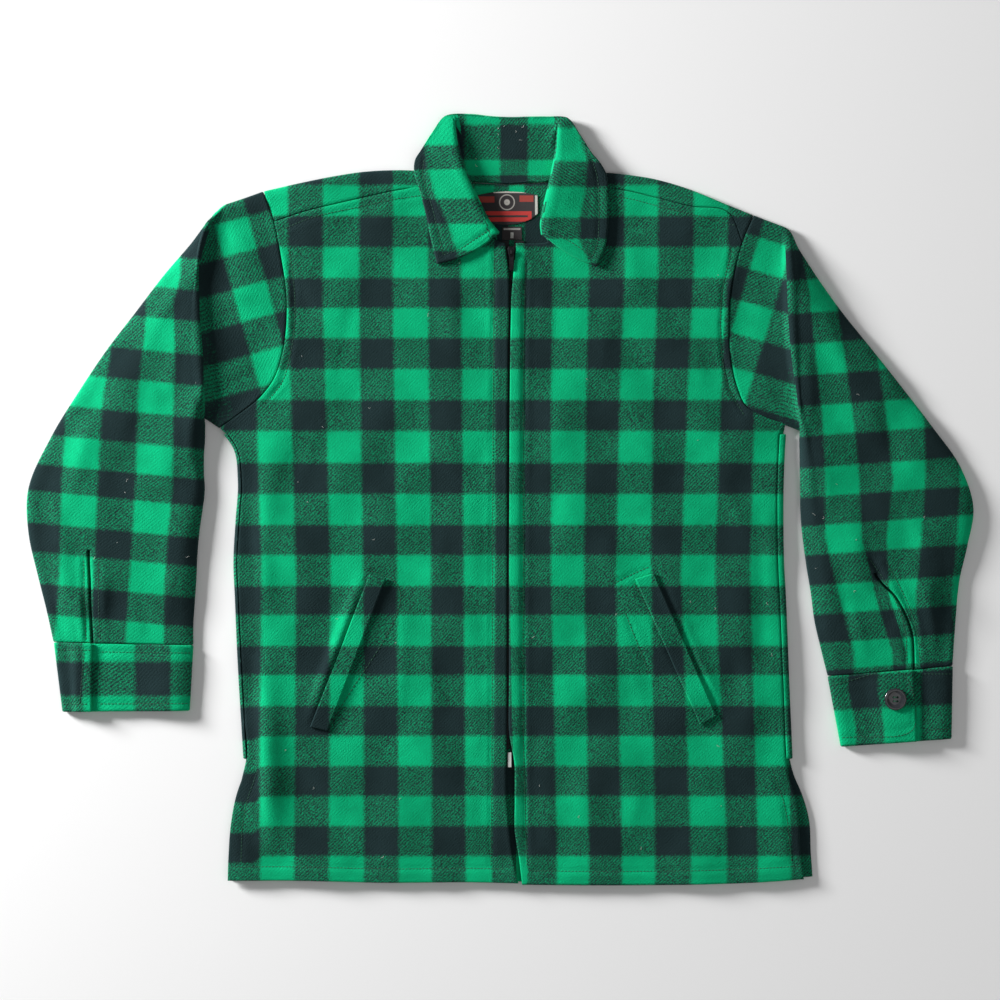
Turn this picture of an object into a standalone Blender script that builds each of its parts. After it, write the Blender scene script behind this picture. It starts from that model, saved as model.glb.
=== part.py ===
"""Zip-front wool shirt-jacket, laid flat with its front up and its collar turned down.

+Z is up and the garment rests on z = 0. +Y runs from the hem to the collar and +X to the right of
someone who looks down at the front. Left and right are that person's.
"""

import math

import bmesh
import bpy
import numpy as np

MM = 0.001
STEP = 1.0623  # mm in one step of the layout grid, which counts x to the right, y to the hem
GRID_X = 500.5  # the layout point that lies over the origin
GRID_Y = 499.5

WALL = 2.8  # wool of the body and sleeves, mm
CUFF_WALL = 3.6  # two layers of wool, pressed
COLLAR_WALL = 4.2
WELT_WALL = 2.8
TAPE_WALL = 1.0
LABEL_WALL = 0.6
GAP = 0.3  # between pieces that touch
LOWER = WALL / 2  # middle of the layer that lies on the table
TURN = 1.65  # radius of a turned edge, at the middle of the wall
UPPER = LOWER + 2 * TURN  # middle of the layer that lies on it
SEAM = 0.2  # half the distance between two panels at a seam
EDGE_ROUND = 0.32  # share of the wall by which a cut edge is rounded off

WOOL = "wool_check"
TAPE = "zip_tape_cloth"
METAL = "zip_black_metal"
PALE = "zip_pale_metal"
BUTTON = "button_horn"
LABEL = "label_cloth"
MATERIALS = (
    # name, colour, roughness, metallic
    (WOOL, (0.010, 0.190, 0.075), 0.95, 0.0),
    (TAPE, (0.006, 0.006, 0.007), 0.90, 0.0),
    (METAL, (0.015, 0.015, 0.016), 0.35, 1.0),
    (PALE, (0.620, 0.620, 0.600), 0.40, 0.0),
    (BUTTON, (0.012, 0.012, 0.014), 0.18, 0.0),
    (LABEL, (0.020, 0.015, 0.016), 0.80, 0.0),
)

# Layout lines, each row a point: x, y in steps of the grid.
ARMHOLE_LEFT = (
    (263, 191), (269, 206), (274, 222), (281, 258), (286, 293), (286, 326), (282, 354),
    (274, 378), (260, 397), (240, 413), (219, 428),
)
ARMHOLE_RIGHT = (
    (754, 215), (747, 230), (739, 253), (731, 290), (729, 326), (730, 352), (736, 384),
    (748, 408), (768, 418), (787, 424),
)
RIDGE_LEFT = ((228, 204), (209, 222), (201, 245), (199, 300), (203, 360), (204, 418))
RIDGE_RIGHT = ((785, 227), (786, 250), (788, 300), (791, 350), (798, 400), (801, 431))
SHOULDER_LEFT = ((263, 191), (303, 182), (333, 176), (379, 170), (433, 171))
SHOULDER_RIGHT = (
    (754, 215), (739, 210), (706, 196), (666, 181), (643, 177), (606, 172), (586, 171),
)
SEAM_LEFT = ((271.5, 224), (309, 210), (356, 199), (391, 191), (419, 187), (434.5, 186))
SEAM_RIGHT = (
    (748.5, 226), (737, 217), (699, 208), (663, 199), (626, 190), (600, 187), (584.5, 186),
)
SIDE_LEFT = (
    (219, 428), (232, 446), (238, 471), (233, 560), (235, 610), (237, 660), (240, 709), (243, 759),
)
SIDE_RIGHT = (
    (787, 424), (785, 457), (783.5, 500), (784.5, 562), (787, 610), (790, 690), (793, 759),
)
SLIT_LEFT_BACK = ((243, 759), (242, 777), (236, 801), (232.5, 822), (229.5, 863), (229, 880))
SLIT_LEFT_FRONT = ((246.6, 759), (242.5, 777), (234.5, 801), (231, 822), (228, 863), (227.5, 881))
SLIT_RIGHT_BACK = ((793, 759), (795, 778), (801, 791), (808, 812), (811.5, 856), (813, 877))
SLIT_RIGHT_FRONT = (
    (786.2, 759), (788.5, 776), (792, 785), (798, 812), (800, 845), (804, 879.5),
)
EDGE_LEFT = (
    (505, 243), (506.6, 248), (507, 262), (508.6, 275), (509.4, 290), (508.2, 340), (507.4, 420),
    (507, 570), (506.6, 740), (505.8, 780), (506.6, 800), (509, 828), (511.6, 855), (515.5, 868),
    (518.5, 883.5),
)
EDGE_RIGHT = (
    (516, 243), (516.4, 250), (516, 262), (513, 275), (511.6, 290), (510.4, 340), (509.6, 420),
    (509, 570), (509, 732), (510.5, 740), (514.8, 747), (514.8, 800), (514.6, 846), (517.5, 857),
    (521.2, 866), (522, 885),
)
CORNER_RIGHT = ((518, 243), (521, 243), (524.5, 243.5), (529, 243.5), (537, 243.5))
HEM_LEFT = ((227.5, 881), (302, 881), (383, 883), (465, 882.5), (518.5, 883.5))
HEM_RIGHT = ((522, 885), (592, 885.5), (681, 885), (770, 882), (804, 879.5))
HEM_BACK = (
    (229, 880), (302, 880), (400, 882), (510, 882), (592, 884), (681, 884), (770, 881), (813, 877),
)
SEAM_INSET_LEFT = 3.6  # steps from the left silhouette to the side seam
SEAM_INSET_RIGHT = 6.8

# Centre line of the zip: y, x.
ZIP_LINE = (
    (241, 511.6), (262, 511.4), (275, 510.8), (290, 510.5), (340, 509.3), (420, 508.5), (570, 508),
    (775, 507.8),
)

# Soft folds. Columns: from x, y, to x, y, rise mm, reach in steps to the left and to the right.
FRONT_FOLDS = (
    (266, 650, 272, 862, 3.4, 10, 17),
    (300, 400, 262, 520, 1.6, 18, 14),
    (300, 505, 318, 690, 1.0, 26, 16),
    (405, 600, 398, 730, 1.3, 9, 7),
    (440, 250, 452, 480, 1.2, 34, 22),
    (392, 760, 398, 880, 1.5, 18, 14),
    (556, 300, 566, 560, 1.2, 20, 30),
    (618, 610, 650, 735, 1.2, 8, 8),
    (700, 400, 738, 520, 1.6, 16, 16),
    (742, 560, 752, 800, 1.8, 18, 12),
    (588, 730, 584, 880, 1.6, 16, 18),
    (363, 580, 305, 724, 1.5, 5, 3),
    (659, 580, 722, 712, 1.5, 4, 5),
    (690, 770, 694, 880, 1.3, 16, 16),
    (283, 250, 289, 345, 1.3, 5, 7),
    (284, 345, 262, 397, 1.3, 6, 6),
    (738, 262, 728, 345, 1.3, 7, 5),
    (729, 350, 750, 408, 1.3, 5, 6),
)
LEFT_SLEEVE_FOLDS = (
    (120, 400, 95, 520, 2.2, 20, 16),
    (172, 470, 160, 600, 1.8, 14, 18),
    (60, 560, 82, 640, 1.6, 12, 6),
    (232, 250, 262, 262, 1.0, 10, 12),
    (222, 330, 262, 318, 1.2, 12, 14),
)
RIGHT_SLEEVE_FOLDS = (
    (838, 330, 880, 470, 2.0, 18, 18),
    (842, 500, 872, 600, 2.2, 16, 12),
    (930, 540, 926, 640, 2.4, 14, 10),
    (748, 262, 775, 268, 1.0, 10, 12),
    (750, 342, 785, 350, 1.2, 12, 12),
)

# Guide rings between armhole and ridge: share of the way, rise of the upper layer in mm.
CAP_RINGS = ((0.0, 0.4), (0.12, 0.0), (0.45, 0.4), (0.80, 0.9), (0.93, 3.0), (1.0, 9.0))
# Sections of the sleeves from the ridge to the cuff: outer x, y, under x, y, bow towards the body,
# rise of the upper layer in mm, place of the placket slit as a share from the outer edge.
LEFT_SECTIONS = (
    (214, 215, 204, 427, -18, 10.0, 0.50),
    (192, 243, 204, 440, -22, 9.0, 0.50),
    (166, 273, 203, 456, -18, 7.5, 0.48),
    (138, 309, 203, 474, -10, 6.0, 0.46),
    (107, 349, 204, 492, -5, 5.0, 0.44),
    (78, 392, 202, 510, 0, 4.5, 0.42),
    (50, 438, 199, 532, 0, 4.5, 0.40),
    (27, 493, 197, 556, 0, 4.5, 0.38),
    (28, 533, 196, 580, 0, 4.0, 0.363),
    (37, 574, 194.5, 602, 0, 3.5, 0.337),
    (46, 610, 193, 624, 0, 3.0, 0.306),
    (53, 642, 193, 645, 0, 2.2, 0.282),
)
RIGHT_SECTIONS = (
    (798, 248, 801, 441, 0, 9.5, 0.50),
    (816, 276, 801, 455, -4, 9.0, 0.50),
    (842, 312, 801, 472, -4, 7.5, 0.52),
    (872, 349, 801, 490, -3, 6.5, 0.55),
    (903, 388, 801, 508, 0, 5.5, 0.58),
    (933, 427, 802, 527, 0, 5.0, 0.60),
    (962, 469, 804, 546, 0, 4.8, 0.61),
    (974, 508, 807, 568, 0, 4.5, 0.61),
    (968, 545, 811, 592, 0, 4.2, 0.595),
    (960, 580, 815, 622, 0, 3.8, 0.44),
    (956, 622, 821, 648, 0, 3.2, 0.333),
    (953, 666, 828, 676, 0, 2.2, 0.312),
)
SLIT_FROM = 8  # first section whose placket is open
SLIT_HALF = 0.008  # half the width of the placket slit, as a share of the section
# Shares of the way from the shoulder to the underarm.
ROUND_SHARES = (0.0, 0.12, 0.25, 0.36, 0.46, 0.54, 0.63, 0.72, 0.81, 0.89, 0.95, 1.0)
BACK_SHARES = (0, 1, 3, 5, 7, 9, 11)  # those that the layer on the table has too
SIDE_ROWS = (434, 446, 480, 520, 562, 600, 640, 680, 720, 759)  # y of the rows at a side seam
SLIT_ROWS = (0.14, 0.30, 0.52, 0.80, 1.0)  # shares from the slit's top to the hem
SHOULDER_CELLS = 5
UNDERARM_IN = np.array((1.4, 0.5))  # steps by which a panel's corner keeps clear of the sleeve's turn

# Sections of the collar from its left front end round the back to its right front end:
# neck seam x, y, height mm, roll x, y, height mm, free edge x, y, height mm, bow of the leaf.
COLLAR = (
    (497, 240, 6.2, 500.5, 233, 10.8, 437, 264, 9.0, 5),
    (485, 231, 6.4, 491, 222, 12.6, 431, 240, 9.0, 1),
    (470, 217, 6.6, 482.5, 206, 14.0, 425, 211, 8.8, 0),
    (455, 204, 6.6, 475, 190, 14.6, 419, 189, 9.0, 0),
    (442, 193, 6.4, 468, 174, 14.6, 414, 172, 9.4, 0),
    (436, 185.5, 5.8, 463, 160, 13.6, 415, 160, 9.6, 0),
    (436.8, 180.2, 3.8, 459, 143, 12.0, 421, 150, 9.0, 0),
    (444, 180.8, 2.5, 456, 128, 10.5, 433, 131, 7.6, 0),
    (455, 181.5, 2.15, 453.5, 115.5, 8.5, 443.5, 117, 7.2, 0),
    (470, 182, 2.15, 470, 120, 2.6, 471, 113.5, 4.0, 0),
    (488, 182.8, 2.15, 489, 121, 2.6, 490, 115.5, 3.6, 0),
    (507, 183.8, 2.15, 511, 122, 2.6, 511, 116.5, 3.4, 0),
    (528, 182.8, 2.15, 531, 122, 2.6, 531, 116, 3.6, 0),
    (546, 182, 2.15, 548, 121, 2.6, 547, 116, 4.0, 0),
    (560, 181.3, 2.15, 559.5, 117.5, 8.0, 568, 118, 6.8, 0),
    (573, 180.8, 2.5, 557, 133, 10.0, 580.5, 135, 7.4, 0),
    (582, 180.2, 3.8, 555, 150, 11.6, 592, 153, 9.0, 0),
    (583, 185.5, 5.8, 552, 166, 13.4, 601, 164, 9.4, 0),
    (577, 194, 6.4, 549, 181, 14.4, 606.5, 174, 9.2, 0),
    (568, 205, 6.6, 545, 197, 14.2, 608, 196, 9.0, 0),
    (559, 218, 6.6, 541.5, 212, 13.6, 608.5, 220, 9.0, 0),
    (552, 231, 6.4, 540, 225, 12.4, 606, 244, 9.0, -1),
    (548, 241, 6.2, 541.5, 235, 10.8, 597, 267, 9.0, -3),
)
COLLAR_OPEN = (9, 13)  # first and last section where the collar lies open
COLLAR_BACK = (6, 16)  # first and last section that is sewn to the back panel
STAND_CELLS = 4
ROLL_CELLS = 4
LEAF_CELLS = 5

# Cuffs: top left x, y, top right x, y, bottom left x, y, bottom right x, y.
CUFF_LEFT = (53.3, 642.3, 193.2, 645.3, 62, 712, 189.5, 711)
CUFF_RIGHT = (827.8, 676.3, 953.3, 666.3, 841, 747, 952, 739)
# Where the covered end and the end on top lie, each as a share across at the top edge and its
# change down to the bottom edge. Counted from the right.
LAP_LEFT = (0.82, 0.04, 0.72, 0.045)
LAP_RIGHT = (0.5, 0.0, 0.32, 0.0)
CUFF_LEVELS = (1.8, 5.8, 9.8)  # middle of each of the three layers, mm

# Pocket welts: the long open side from x, y, to x, y and the sewn side from x, y, to x, y.
WELT_LEFT = (369.5, 574, 310, 727, 386, 578, 327.5, 731)
WELT_RIGHT = (654, 573, 716.5, 716, 635, 579, 700, 725)
WELT_CELLS = 8

# Zip: rows of the tapes, half widths in steps, then sizes in mm.
TAPE_ROWS = (240.5, 248, 256, 264, 275, 290, 340, 420, 570, 700, 770)
TAPE_IN = 2.5
TAPE_OUT = 12.5
CHAIN_TOP = 259.5
CHAIN_END = 750.5
CHAIN_HALF = 2.15
CHAIN_WALL = 2.2
SLIDER_AT = (511.4, 252)
SLIDER_WIDE = 7.8
SLIDER_LONG = 12.0
SLIDER_LOW = WALL + TAPE_WALL + 2 * GAP
SLIDER_TOP = 9.2
SLIDER_OUTLINE = (
    (-0.62, -1), (0.62, -1), (0.8, -0.35), (1, 0.5), (0.86, 1), (-0.86, 1), (-1, 0.5), (-0.8, -0.35),
)
BAIL_RISE = 2.9
BAIL_REACH = 2.7
BAIL_RADIUS = 0.65
PULL_THICK = 1.3
PULL_BAR = 0.65
PULL_SLOT = 1.35
PULL_SLOT_FAR = 5.2
PULL_OUTLINE = (
    (-2.5, -6.0), (-2.2, -18.4), (-1.2, -19.6), (1.2, -19.6), (2.2, -18.4), (2.5, -6.0),
    (2.3, 0.65), (-2.3, 0.65),
)
ZIP_BOX_AT = (509.6, 760)
ZIP_BOX_SIZE = (3.8, 16.0, 2.8)

# Button of the right cuff: radius and height of its turned outline, mm.
BUTTON_AT = (895, 699)
BUTTON_LOW = 12.0
BUTTON_SIDES = 24
BUTTON_PROFILE = (
    (0.0, 0.0), (9.6, 0.0), (11.2, 0.6), (11.8, 1.7), (11.2, 2.8), (9.8, 3.3), (8.2, 2.8),
    (6.6, 1.9), (0.0, 1.7),
)
HOLE_OUT = 2.1
HOLE_RADIUS = 1.15

# Outlines of the neck label and the size tab.
LABEL_OUTLINE = (
    (476, 195), (475.5, 213), (483, 219), (495, 223.5), (507, 225), (519, 223.5), (531, 219),
    (538.5, 213), (538, 194.8), (523, 192), (507, 191), (491, 192),
)
TAB_OUTLINE = ((502, 226.5), (502, 239.8), (522, 239.8), (522, 226.5))


def lay(x, y):
    """A layout point in mm from the origin."""
    return (x - GRID_X) * STEP, (GRID_Y - y) * STEP


def lengths(points):
    """Running length along a line of points, from 0 to 1."""
    pts = np.asarray(points, float)
    run = np.concatenate([[0.0], np.cumsum(np.linalg.norm(np.diff(pts, axis=0), axis=1))])
    return run / run[-1]


def along(points, shares):
    """Points of a smooth line at the given shares of its length."""
    pts = np.asarray(points, float)
    run = lengths(pts)
    ends = np.gradient(pts, run, axis=0)
    out = []
    for share in np.atleast_1d(shares):
        i = int(np.clip(np.searchsorted(run, share) - 1, 0, len(run) - 2))
        span = run[i + 1] - run[i]
        t = (share - run[i]) / span
        a = 2 * t ** 3 - 3 * t ** 2 + 1
        b = t ** 3 - 2 * t ** 2 + t
        c = -2 * t ** 3 + 3 * t ** 2
        d = t ** 3 - t ** 2
        out.append(a * pts[i] + b * span * ends[i] + c * pts[i + 1] + d * span * ends[i + 1])
    return np.array(out)


def at_height(points, ys):
    """Points of a line that runs towards the hem, at the given y."""
    pts = np.asarray(points, float)
    return np.stack([np.interp(ys, pts[:, 1], pts[:, 0]), ys], axis=1)


def patch(top, bottom, left, right):
    """Grid of plan points between four boundary lines, rows from top to bottom."""
    u = lengths(top)[None, :, None]
    v = lengths(left)[:, None, None]
    across = (1 - u) * left[:, None, :] + u * right[:, None, :]
    above = top[None, :, :] - ((1 - u) * top[0] + u * top[-1])
    below = bottom[None, :, :] - ((1 - u) * bottom[0] + u * bottom[-1])
    return across + (1 - v) ** 3 * above + v ** 3 * below


def beside(line, distance):
    """A line of layout points moved sideways by mm, to the right of its run as seen on the layout."""
    pts = np.asarray(line, float)
    way = np.gradient(pts, axis=0)
    way /= np.linalg.norm(way, axis=1, keepdims=True)
    return pts + np.stack([-way[:, 1], way[:, 0]], axis=1) * distance / STEP


def folds(x, y, table):
    """Height in mm that a table of soft folds gives a layout point."""
    total = np.zeros(np.broadcast(x, y).shape)
    for x0, y0, x1, y1, rise, left, right in table:
        run = math.hypot(x1 - x0, y1 - y0)
        ax = (x1 - x0) / run
        ay = (y1 - y0) / run
        t = ((x - x0) * ax + (y - y0) * ay) / run
        off = (x - x0) * ay - (y - y0) * ax
        reach = np.where(off < 0, left, right)
        fade = np.sin(np.pi * np.clip(t, 0.0, 1.0)) ** 0.8
        total = total + rise * fade * np.exp(-((off / reach) ** 2))
    return total


def zip_x(y):
    """Layout x of the zip's centre line."""
    line = np.asarray(ZIP_LINE, float)
    return np.interp(y, line[:, 0], line[:, 1])


def front_height(x, y):
    """Middle of the front panels above the table, mm."""
    away = np.abs(x - zip_x(y))
    over_zip = np.interp(away, (0, 3, 13, 24, 46), (2.7, 2.5, 1.9, 1.1, 0.0))
    over_zip = over_zip * np.interp(y, (770, 800), (1.0, 0.35))
    ahead = x - zip_x(y)
    strip = 1.1 * np.exp(-(((ahead - 7.0) / 4.2) ** 2)) * (ahead > 0) * np.interp(y, (255, 285), (0, 1))
    return UPPER + 0.1 + over_zip + strip + folds(x, y, FRONT_FOLDS)


def cloth(name, points, wall, material, cells=None, ring=False):
    """Closed solid of a cloth piece: a grid of middle points in mm, made a wall with round edges."""
    rows, cols = points.shape[:2]
    verts = points.reshape(-1, 3)
    last = cols if ring else cols - 1
    quads = []
    for r in range(rows - 1):
        for c in range(last):
            if cells is None or cells(r, c):
                n = (c + 1) % cols
                quads.append((r * cols + c, r * cols + n, (r + 1) * cols + n, (r + 1) * cols + c))
    normals = np.zeros_like(verts)
    inward = np.zeros_like(verts)
    edges = {}
    for quad in quads:
        corner = verts[list(quad)]
        face = np.cross(corner[2] - corner[0], corner[3] - corner[1])
        middle = corner.mean(axis=0)
        for i, v in enumerate(quad):
            normals[v] += face
            inward[v] += middle - verts[v]
            edge = (v, quad[(i + 1) % 4])
            edges[edge] = edges.get(edge, 0) + 1
    used = sorted({v for quad in quads for v in quad})
    rim = [e for e in edges if (e[1], e[0]) not in edges]
    on_rim = {v for e in rim for v in e}
    normals /= np.maximum(np.linalg.norm(normals, axis=1), 1e-12)[:, None]
    inward /= np.maximum(np.linalg.norm(inward, axis=1), 1e-12)[:, None]
    mesh = bmesh.new()
    above = {}
    below = {}
    middle = {}
    for v in used:
        shift = inward[v] * wall * EDGE_ROUND if v in on_rim else 0.0
        lift = normals[v] * wall / 2
        above[v] = mesh.verts.new((verts[v] + shift + lift) * MM)
        below[v] = mesh.verts.new((verts[v] + shift - lift) * MM)
        if v in on_rim:
            middle[v] = mesh.verts.new(verts[v] * MM)
    for quad in quads:
        mesh.faces.new([above[v] for v in quad])
        mesh.faces.new([below[v] for v in reversed(quad)])
    for a, b in rim:
        mesh.faces.new((above[b], above[a], middle[a], middle[b]))
        mesh.faces.new((middle[b], middle[a], below[a], below[b]))
    bmesh.ops.recalc_face_normals(mesh, faces=mesh.faces)
    return finish(name, mesh, material)


def finish(name, mesh, material):
    """Object of a bmesh with its material, shaded smooth."""
    data = bpy.data.meshes.new(name)
    mesh.to_mesh(data)
    mesh.free()
    for face in data.polygons:
        face.use_smooth = True
    data.materials.append(bpy.data.materials[material])
    obj = bpy.data.objects.new(name, data)
    bpy.context.scene.collection.objects.link(obj)
    return obj


def raised(plan, height):
    """Plan points of the layout with their heights in mm, as points in mm."""
    x, y = lay(plan[..., 0], plan[..., 1])
    return np.stack([x, y, np.broadcast_to(height, x.shape)], axis=-1)


def stepped(start, aim, distance):
    """Points at a distance in mm from start points towards aim points, in layout steps."""
    way = aim - start
    run = np.linalg.norm(way, axis=-1, keepdims=True)
    return start + way / run * distance / STEP


def turned(edge, aim, seam, inner_height, cells):
    """Rows of mm points from a turned edge over to its seam: quarter turns first, then the flat run."""
    rows = []
    for k in range(1, cells):
        angle = math.pi * k / cells
        inset = WALL / 2 + TURN * (1 - math.sin(angle))
        rows.append(raised(stepped(edge, aim, inset), LOWER + TURN * (1 - math.cos(angle))))
    start = stepped(edge, aim, WALL / 2 + TURN)
    stop = stepped(seam, start, SEAM)
    rows.append(raised(start, UPPER))
    middle = (start + stop) / 2
    rows.append(raised(middle, inner_height(middle[..., 0], middle[..., 1])))
    rows.append(raised(stop, inner_height(stop[..., 0], stop[..., 1])))
    return rows


def plain_front(x, y):
    """Middle of the upper layer at the shoulders and sides, mm."""
    return UPPER + 0.1 + folds(x, y, FRONT_FOLDS)


def shoulder_seam(seam, armhole):
    """Points of a forward shoulder seam, from the armhole to the neck."""
    start = along(armhole, ROUND_SHARES[1])
    return along(np.concatenate([start, seam[1:]]), np.linspace(0, 1, SHOULDER_CELLS + 1))


def side_line(side, slit, inset):
    """Rows of a side from below the underarm to the hem, moved in by steps above the slit."""
    upper = at_height(side, SIDE_ROWS) + (inset, 0)
    lower = along(slit, SLIT_ROWS)
    return np.concatenate([upper, lower])


def build_back():
    """Back panel: one layer on the table, turned over at the shoulders and the sides."""
    shares = [ROUND_SHARES[i] for i in BACK_SHARES]
    arm_left = along(ARMHOLE_LEFT, shares)
    arm_right = along(ARMHOLE_RIGHT, shares)
    arms = len(shares)
    left = np.concatenate([arm_left, side_line(SIDE_LEFT, SLIT_LEFT_BACK, 0)])
    right = np.concatenate([arm_right, side_line(SIDE_RIGHT, SLIT_RIGHT_BACK, 0)])
    count = SHOULDER_CELLS + 1
    run = np.linspace(0, 1, count)
    left_top = along(SHOULDER_LEFT, run)
    right_top = along(SHOULDER_RIGHT, run)[::-1]
    left_seam = shoulder_seam(SEAM_LEFT, ARMHOLE_LEFT)
    right_seam = shoulder_seam(SEAM_RIGHT, ARMHOLE_RIGHT)[::-1]
    first, last = COLLAR_BACK
    neck = beside([row[0:2] for row in COLLAR[first:last + 1]], 2 * SEAM)
    inset = WALL / 2 + TURN
    lower_left = stepped(left_top, left_seam, inset)
    lower_right = stepped(right_top, right_seam, inset)
    top = np.concatenate([lower_left, neck, lower_right])
    hem = along(HEM_BACK, lengths(top))
    rows = len(left)
    turned_side = np.zeros(rows, bool)
    turned_side[arms:arms + len(SIDE_ROWS)] = True
    left_edge = left.copy()
    right_edge = right.copy()
    left_edge[:arms] = beside(arm_left, -SEAM)
    right_edge[:arms] = beside(arm_right, SEAM)
    left_edge[arms - 1] += UNDERARM_IN
    right_edge[arms - 1] += UNDERARM_IN * (-1, 1)
    left_edge[turned_side, 0] += inset / STEP
    right_edge[turned_side, 0] -= inset / STEP
    top[0] += (2 * SEAM / STEP, 0)
    top[-1] -= (2 * SEAM / STEP, 0)
    left_edge[0] = top[0]
    right_edge[0] = top[-1]
    hem[0] = left_edge[-1]
    hem[-1] = right_edge[-1]
    flat = raised(patch(top, hem, left_edge, right_edge), LOWER)

    over_left = turned(left_top, left_seam, left_seam, plain_front, 4)
    over_right = turned(right_top, right_seam, right_seam, plain_front, 4)
    side_left = turned(left, left + (50, 0), left + (SEAM_INSET_LEFT, 0), plain_front, 4)
    side_right = turned(right, right - (50, 0), right - (SEAM_INSET_RIGHT, 0), plain_front, 4)
    deep = len(over_left)
    cols = flat.shape[1]
    grid = np.zeros((rows + deep, cols + 2 * deep, 3))
    grid[deep:, deep:deep + cols] = flat
    for k in range(deep):
        row = deep - 1 - k
        grid[row, deep:deep + count] = over_left[k]
        grid[row, deep + cols - count:deep + cols] = over_right[k]
        grid[row, deep, 0] += 2 * SEAM
        grid[row, deep + cols - 1, 0] -= 2 * SEAM
        grid[deep:, row] = side_left[k]
        grid[deep:, deep + cols + k] = side_right[k]
    beside_rows = np.concatenate([np.zeros(deep, bool), turned_side])

    def is_cell(r, c):
        inside = deep <= c < deep + cols - 1
        if r < deep:
            return inside and (c < deep + count - 1 or c >= deep + cols - count)
        return inside or (beside_rows[r] and beside_rows[r + 1])

    return cloth("back", grid, WALL, WOOL, is_cell)


def build_front(name, top, hem, left, right):
    """One front panel between its shoulder seam and neckline, its hem, its side and its front edge."""
    top = np.array(top)
    hem = along(hem, lengths(top))
    for line, near, far in ((left, 0, 0), (right, -1, -1)):
        top[near] = line[0]
        hem[far] = line[-1]
    plan = patch(top, hem, left, right)
    height = front_height(plan[..., 0], plan[..., 1])
    return cloth(name, raised(plan, height), WALL, WOOL)


def build_fronts():
    """Both front panels, each a seam's gap inside the lines that it shares with its neighbours."""
    first, last = COLLAR_BACK
    shares = ROUND_SHARES[1:]
    arm = beside(along(ARMHOLE_LEFT, shares), -SEAM)
    arm[0] += (0, 2 * SEAM)
    arm[-1] += UNDERARM_IN
    side = side_line(SIDE_LEFT, SLIT_LEFT_FRONT, SEAM_INSET_LEFT)
    side[:len(SIDE_ROWS), 0] += SEAM / STEP
    left = np.concatenate([arm, side])
    shoulder = beside(shoulder_seam(SEAM_LEFT, ARMHOLE_LEFT), 1.5 * SEAM)
    neck = beside([row[0:2] for row in COLLAR[:first]], -2 * SEAM)[::-1]
    top = np.concatenate([shoulder, neck[1:], [EDGE_LEFT[0]]])
    ys = EDGE_LEFT[0][1] + lengths(left) * (EDGE_LEFT[-1][1] - EDGE_LEFT[0][1])
    build_front("front_left", top, HEM_LEFT, left, at_height(EDGE_LEFT, ys))

    arm = beside(along(ARMHOLE_RIGHT, shares), SEAM)
    arm[0] += (0, 2 * SEAM)
    arm[-1] += UNDERARM_IN * (-1, 1)
    side = side_line(SIDE_RIGHT, SLIT_RIGHT_FRONT, -SEAM_INSET_RIGHT)
    side[:len(SIDE_ROWS), 0] -= SEAM / STEP
    right = np.concatenate([arm, side])
    shoulder = beside(shoulder_seam(SEAM_RIGHT, ARMHOLE_RIGHT), -1.5 * SEAM)[::-1]
    neck = beside([row[0:2] for row in COLLAR[last + 1:]], -2 * SEAM)[::-1]
    top = np.concatenate([[EDGE_RIGHT[0]], CORNER_RIGHT, neck[:-1], shoulder])
    ys = EDGE_RIGHT[0][1] + lengths(right) * (EDGE_RIGHT[-1][1] - EDGE_RIGHT[0][1])
    build_front("front_right", top, HEM_RIGHT, at_height(EDGE_RIGHT, ys), right)


def build_sleeve(name, armhole, ridge, sections, fold_table, side):
    """A sleeve: one flattened tube through guide rings and sections, open at both ends."""
    rings = [(share, rise, None) for share, rise in CAP_RINGS]
    rings += [(None, row[5], row) for row in sections]
    base = np.array(ROUND_SHARES)
    grid = []
    for i, (share, rise, row) in enumerate(rings):
        slit = 0.5 if row is None else row[6]
        half = np.interp(i, (len(CAP_RINGS), len(CAP_RINGS) + SLIT_FROM), (0.04, SLIT_HALF))
        ts = np.interp(base, (0, 0.46, 0.54, 1), (0, slit - half, slit + half, 1))
        if row is None:
            plan = (1 - share) * along(armhole, ts) + share * along(ridge, ts)
            if share == 0.0:
                plan = beside(plan, side * SEAM)
        else:
            outer = np.array(row[0:2], float)
            under = np.array(row[2:4], float)
            plan = outer + ts[:, None] * (under - outer)
            plan[:, 0] += side * row[4] * 4 * ts * (1 - ts)
        inset = (WALL / 2 + TURN) / STEP
        outer_way = plan[1] - plan[0]
        outer_way = outer_way / np.linalg.norm(outer_way)
        under_way = plan[-2] - plan[-1]
        under_way = under_way / np.linalg.norm(under_way)
        body = plan.copy()
        body[0] = plan[0] + outer_way * inset
        body[-1] = plan[-1] + under_way * inset
        shape = np.minimum(np.clip(ts / 0.22, 0, 1), np.clip((1 - ts) / 0.10, 0, 1))
        shape = shape * shape * (3 - 2 * shape)
        height = UPPER + rise * shape + shape * folds(body[:, 0], body[:, 1], fold_table)
        points = list(raised(body, height))
        for k in (1, 2, 3):
            angle = math.pi * k / 4
            reach = (WALL / 2 + TURN * (1 - math.sin(angle))) / STEP
            spot = plan[-1] + under_way * reach
            points.append(raised(spot, LOWER + TURN * (1 + math.cos(angle))))
        for j in reversed(BACK_SHARES):
            points.append(raised(body[j], LOWER))
        for k in (3, 2, 1):
            angle = math.pi * k / 4
            reach = (WALL / 2 + TURN * (1 - math.sin(angle))) / STEP
            spot = plan[0] + outer_way * reach
            points.append(raised(spot, LOWER + TURN * (1 + math.cos(angle))))
        grid.append(points)
    grid = np.array(grid)
    if side > 0:
        grid = grid[:, ::-1]
    slit_cell = 4 if side < 0 else grid.shape[1] - 6
    first_open = len(CAP_RINGS) + SLIT_FROM

    def is_cell(r, c):
        return not (r >= first_open and c == slit_cell)

    return cloth(name, grid, WALL, WOOL, is_cell, ring=True)


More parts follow.
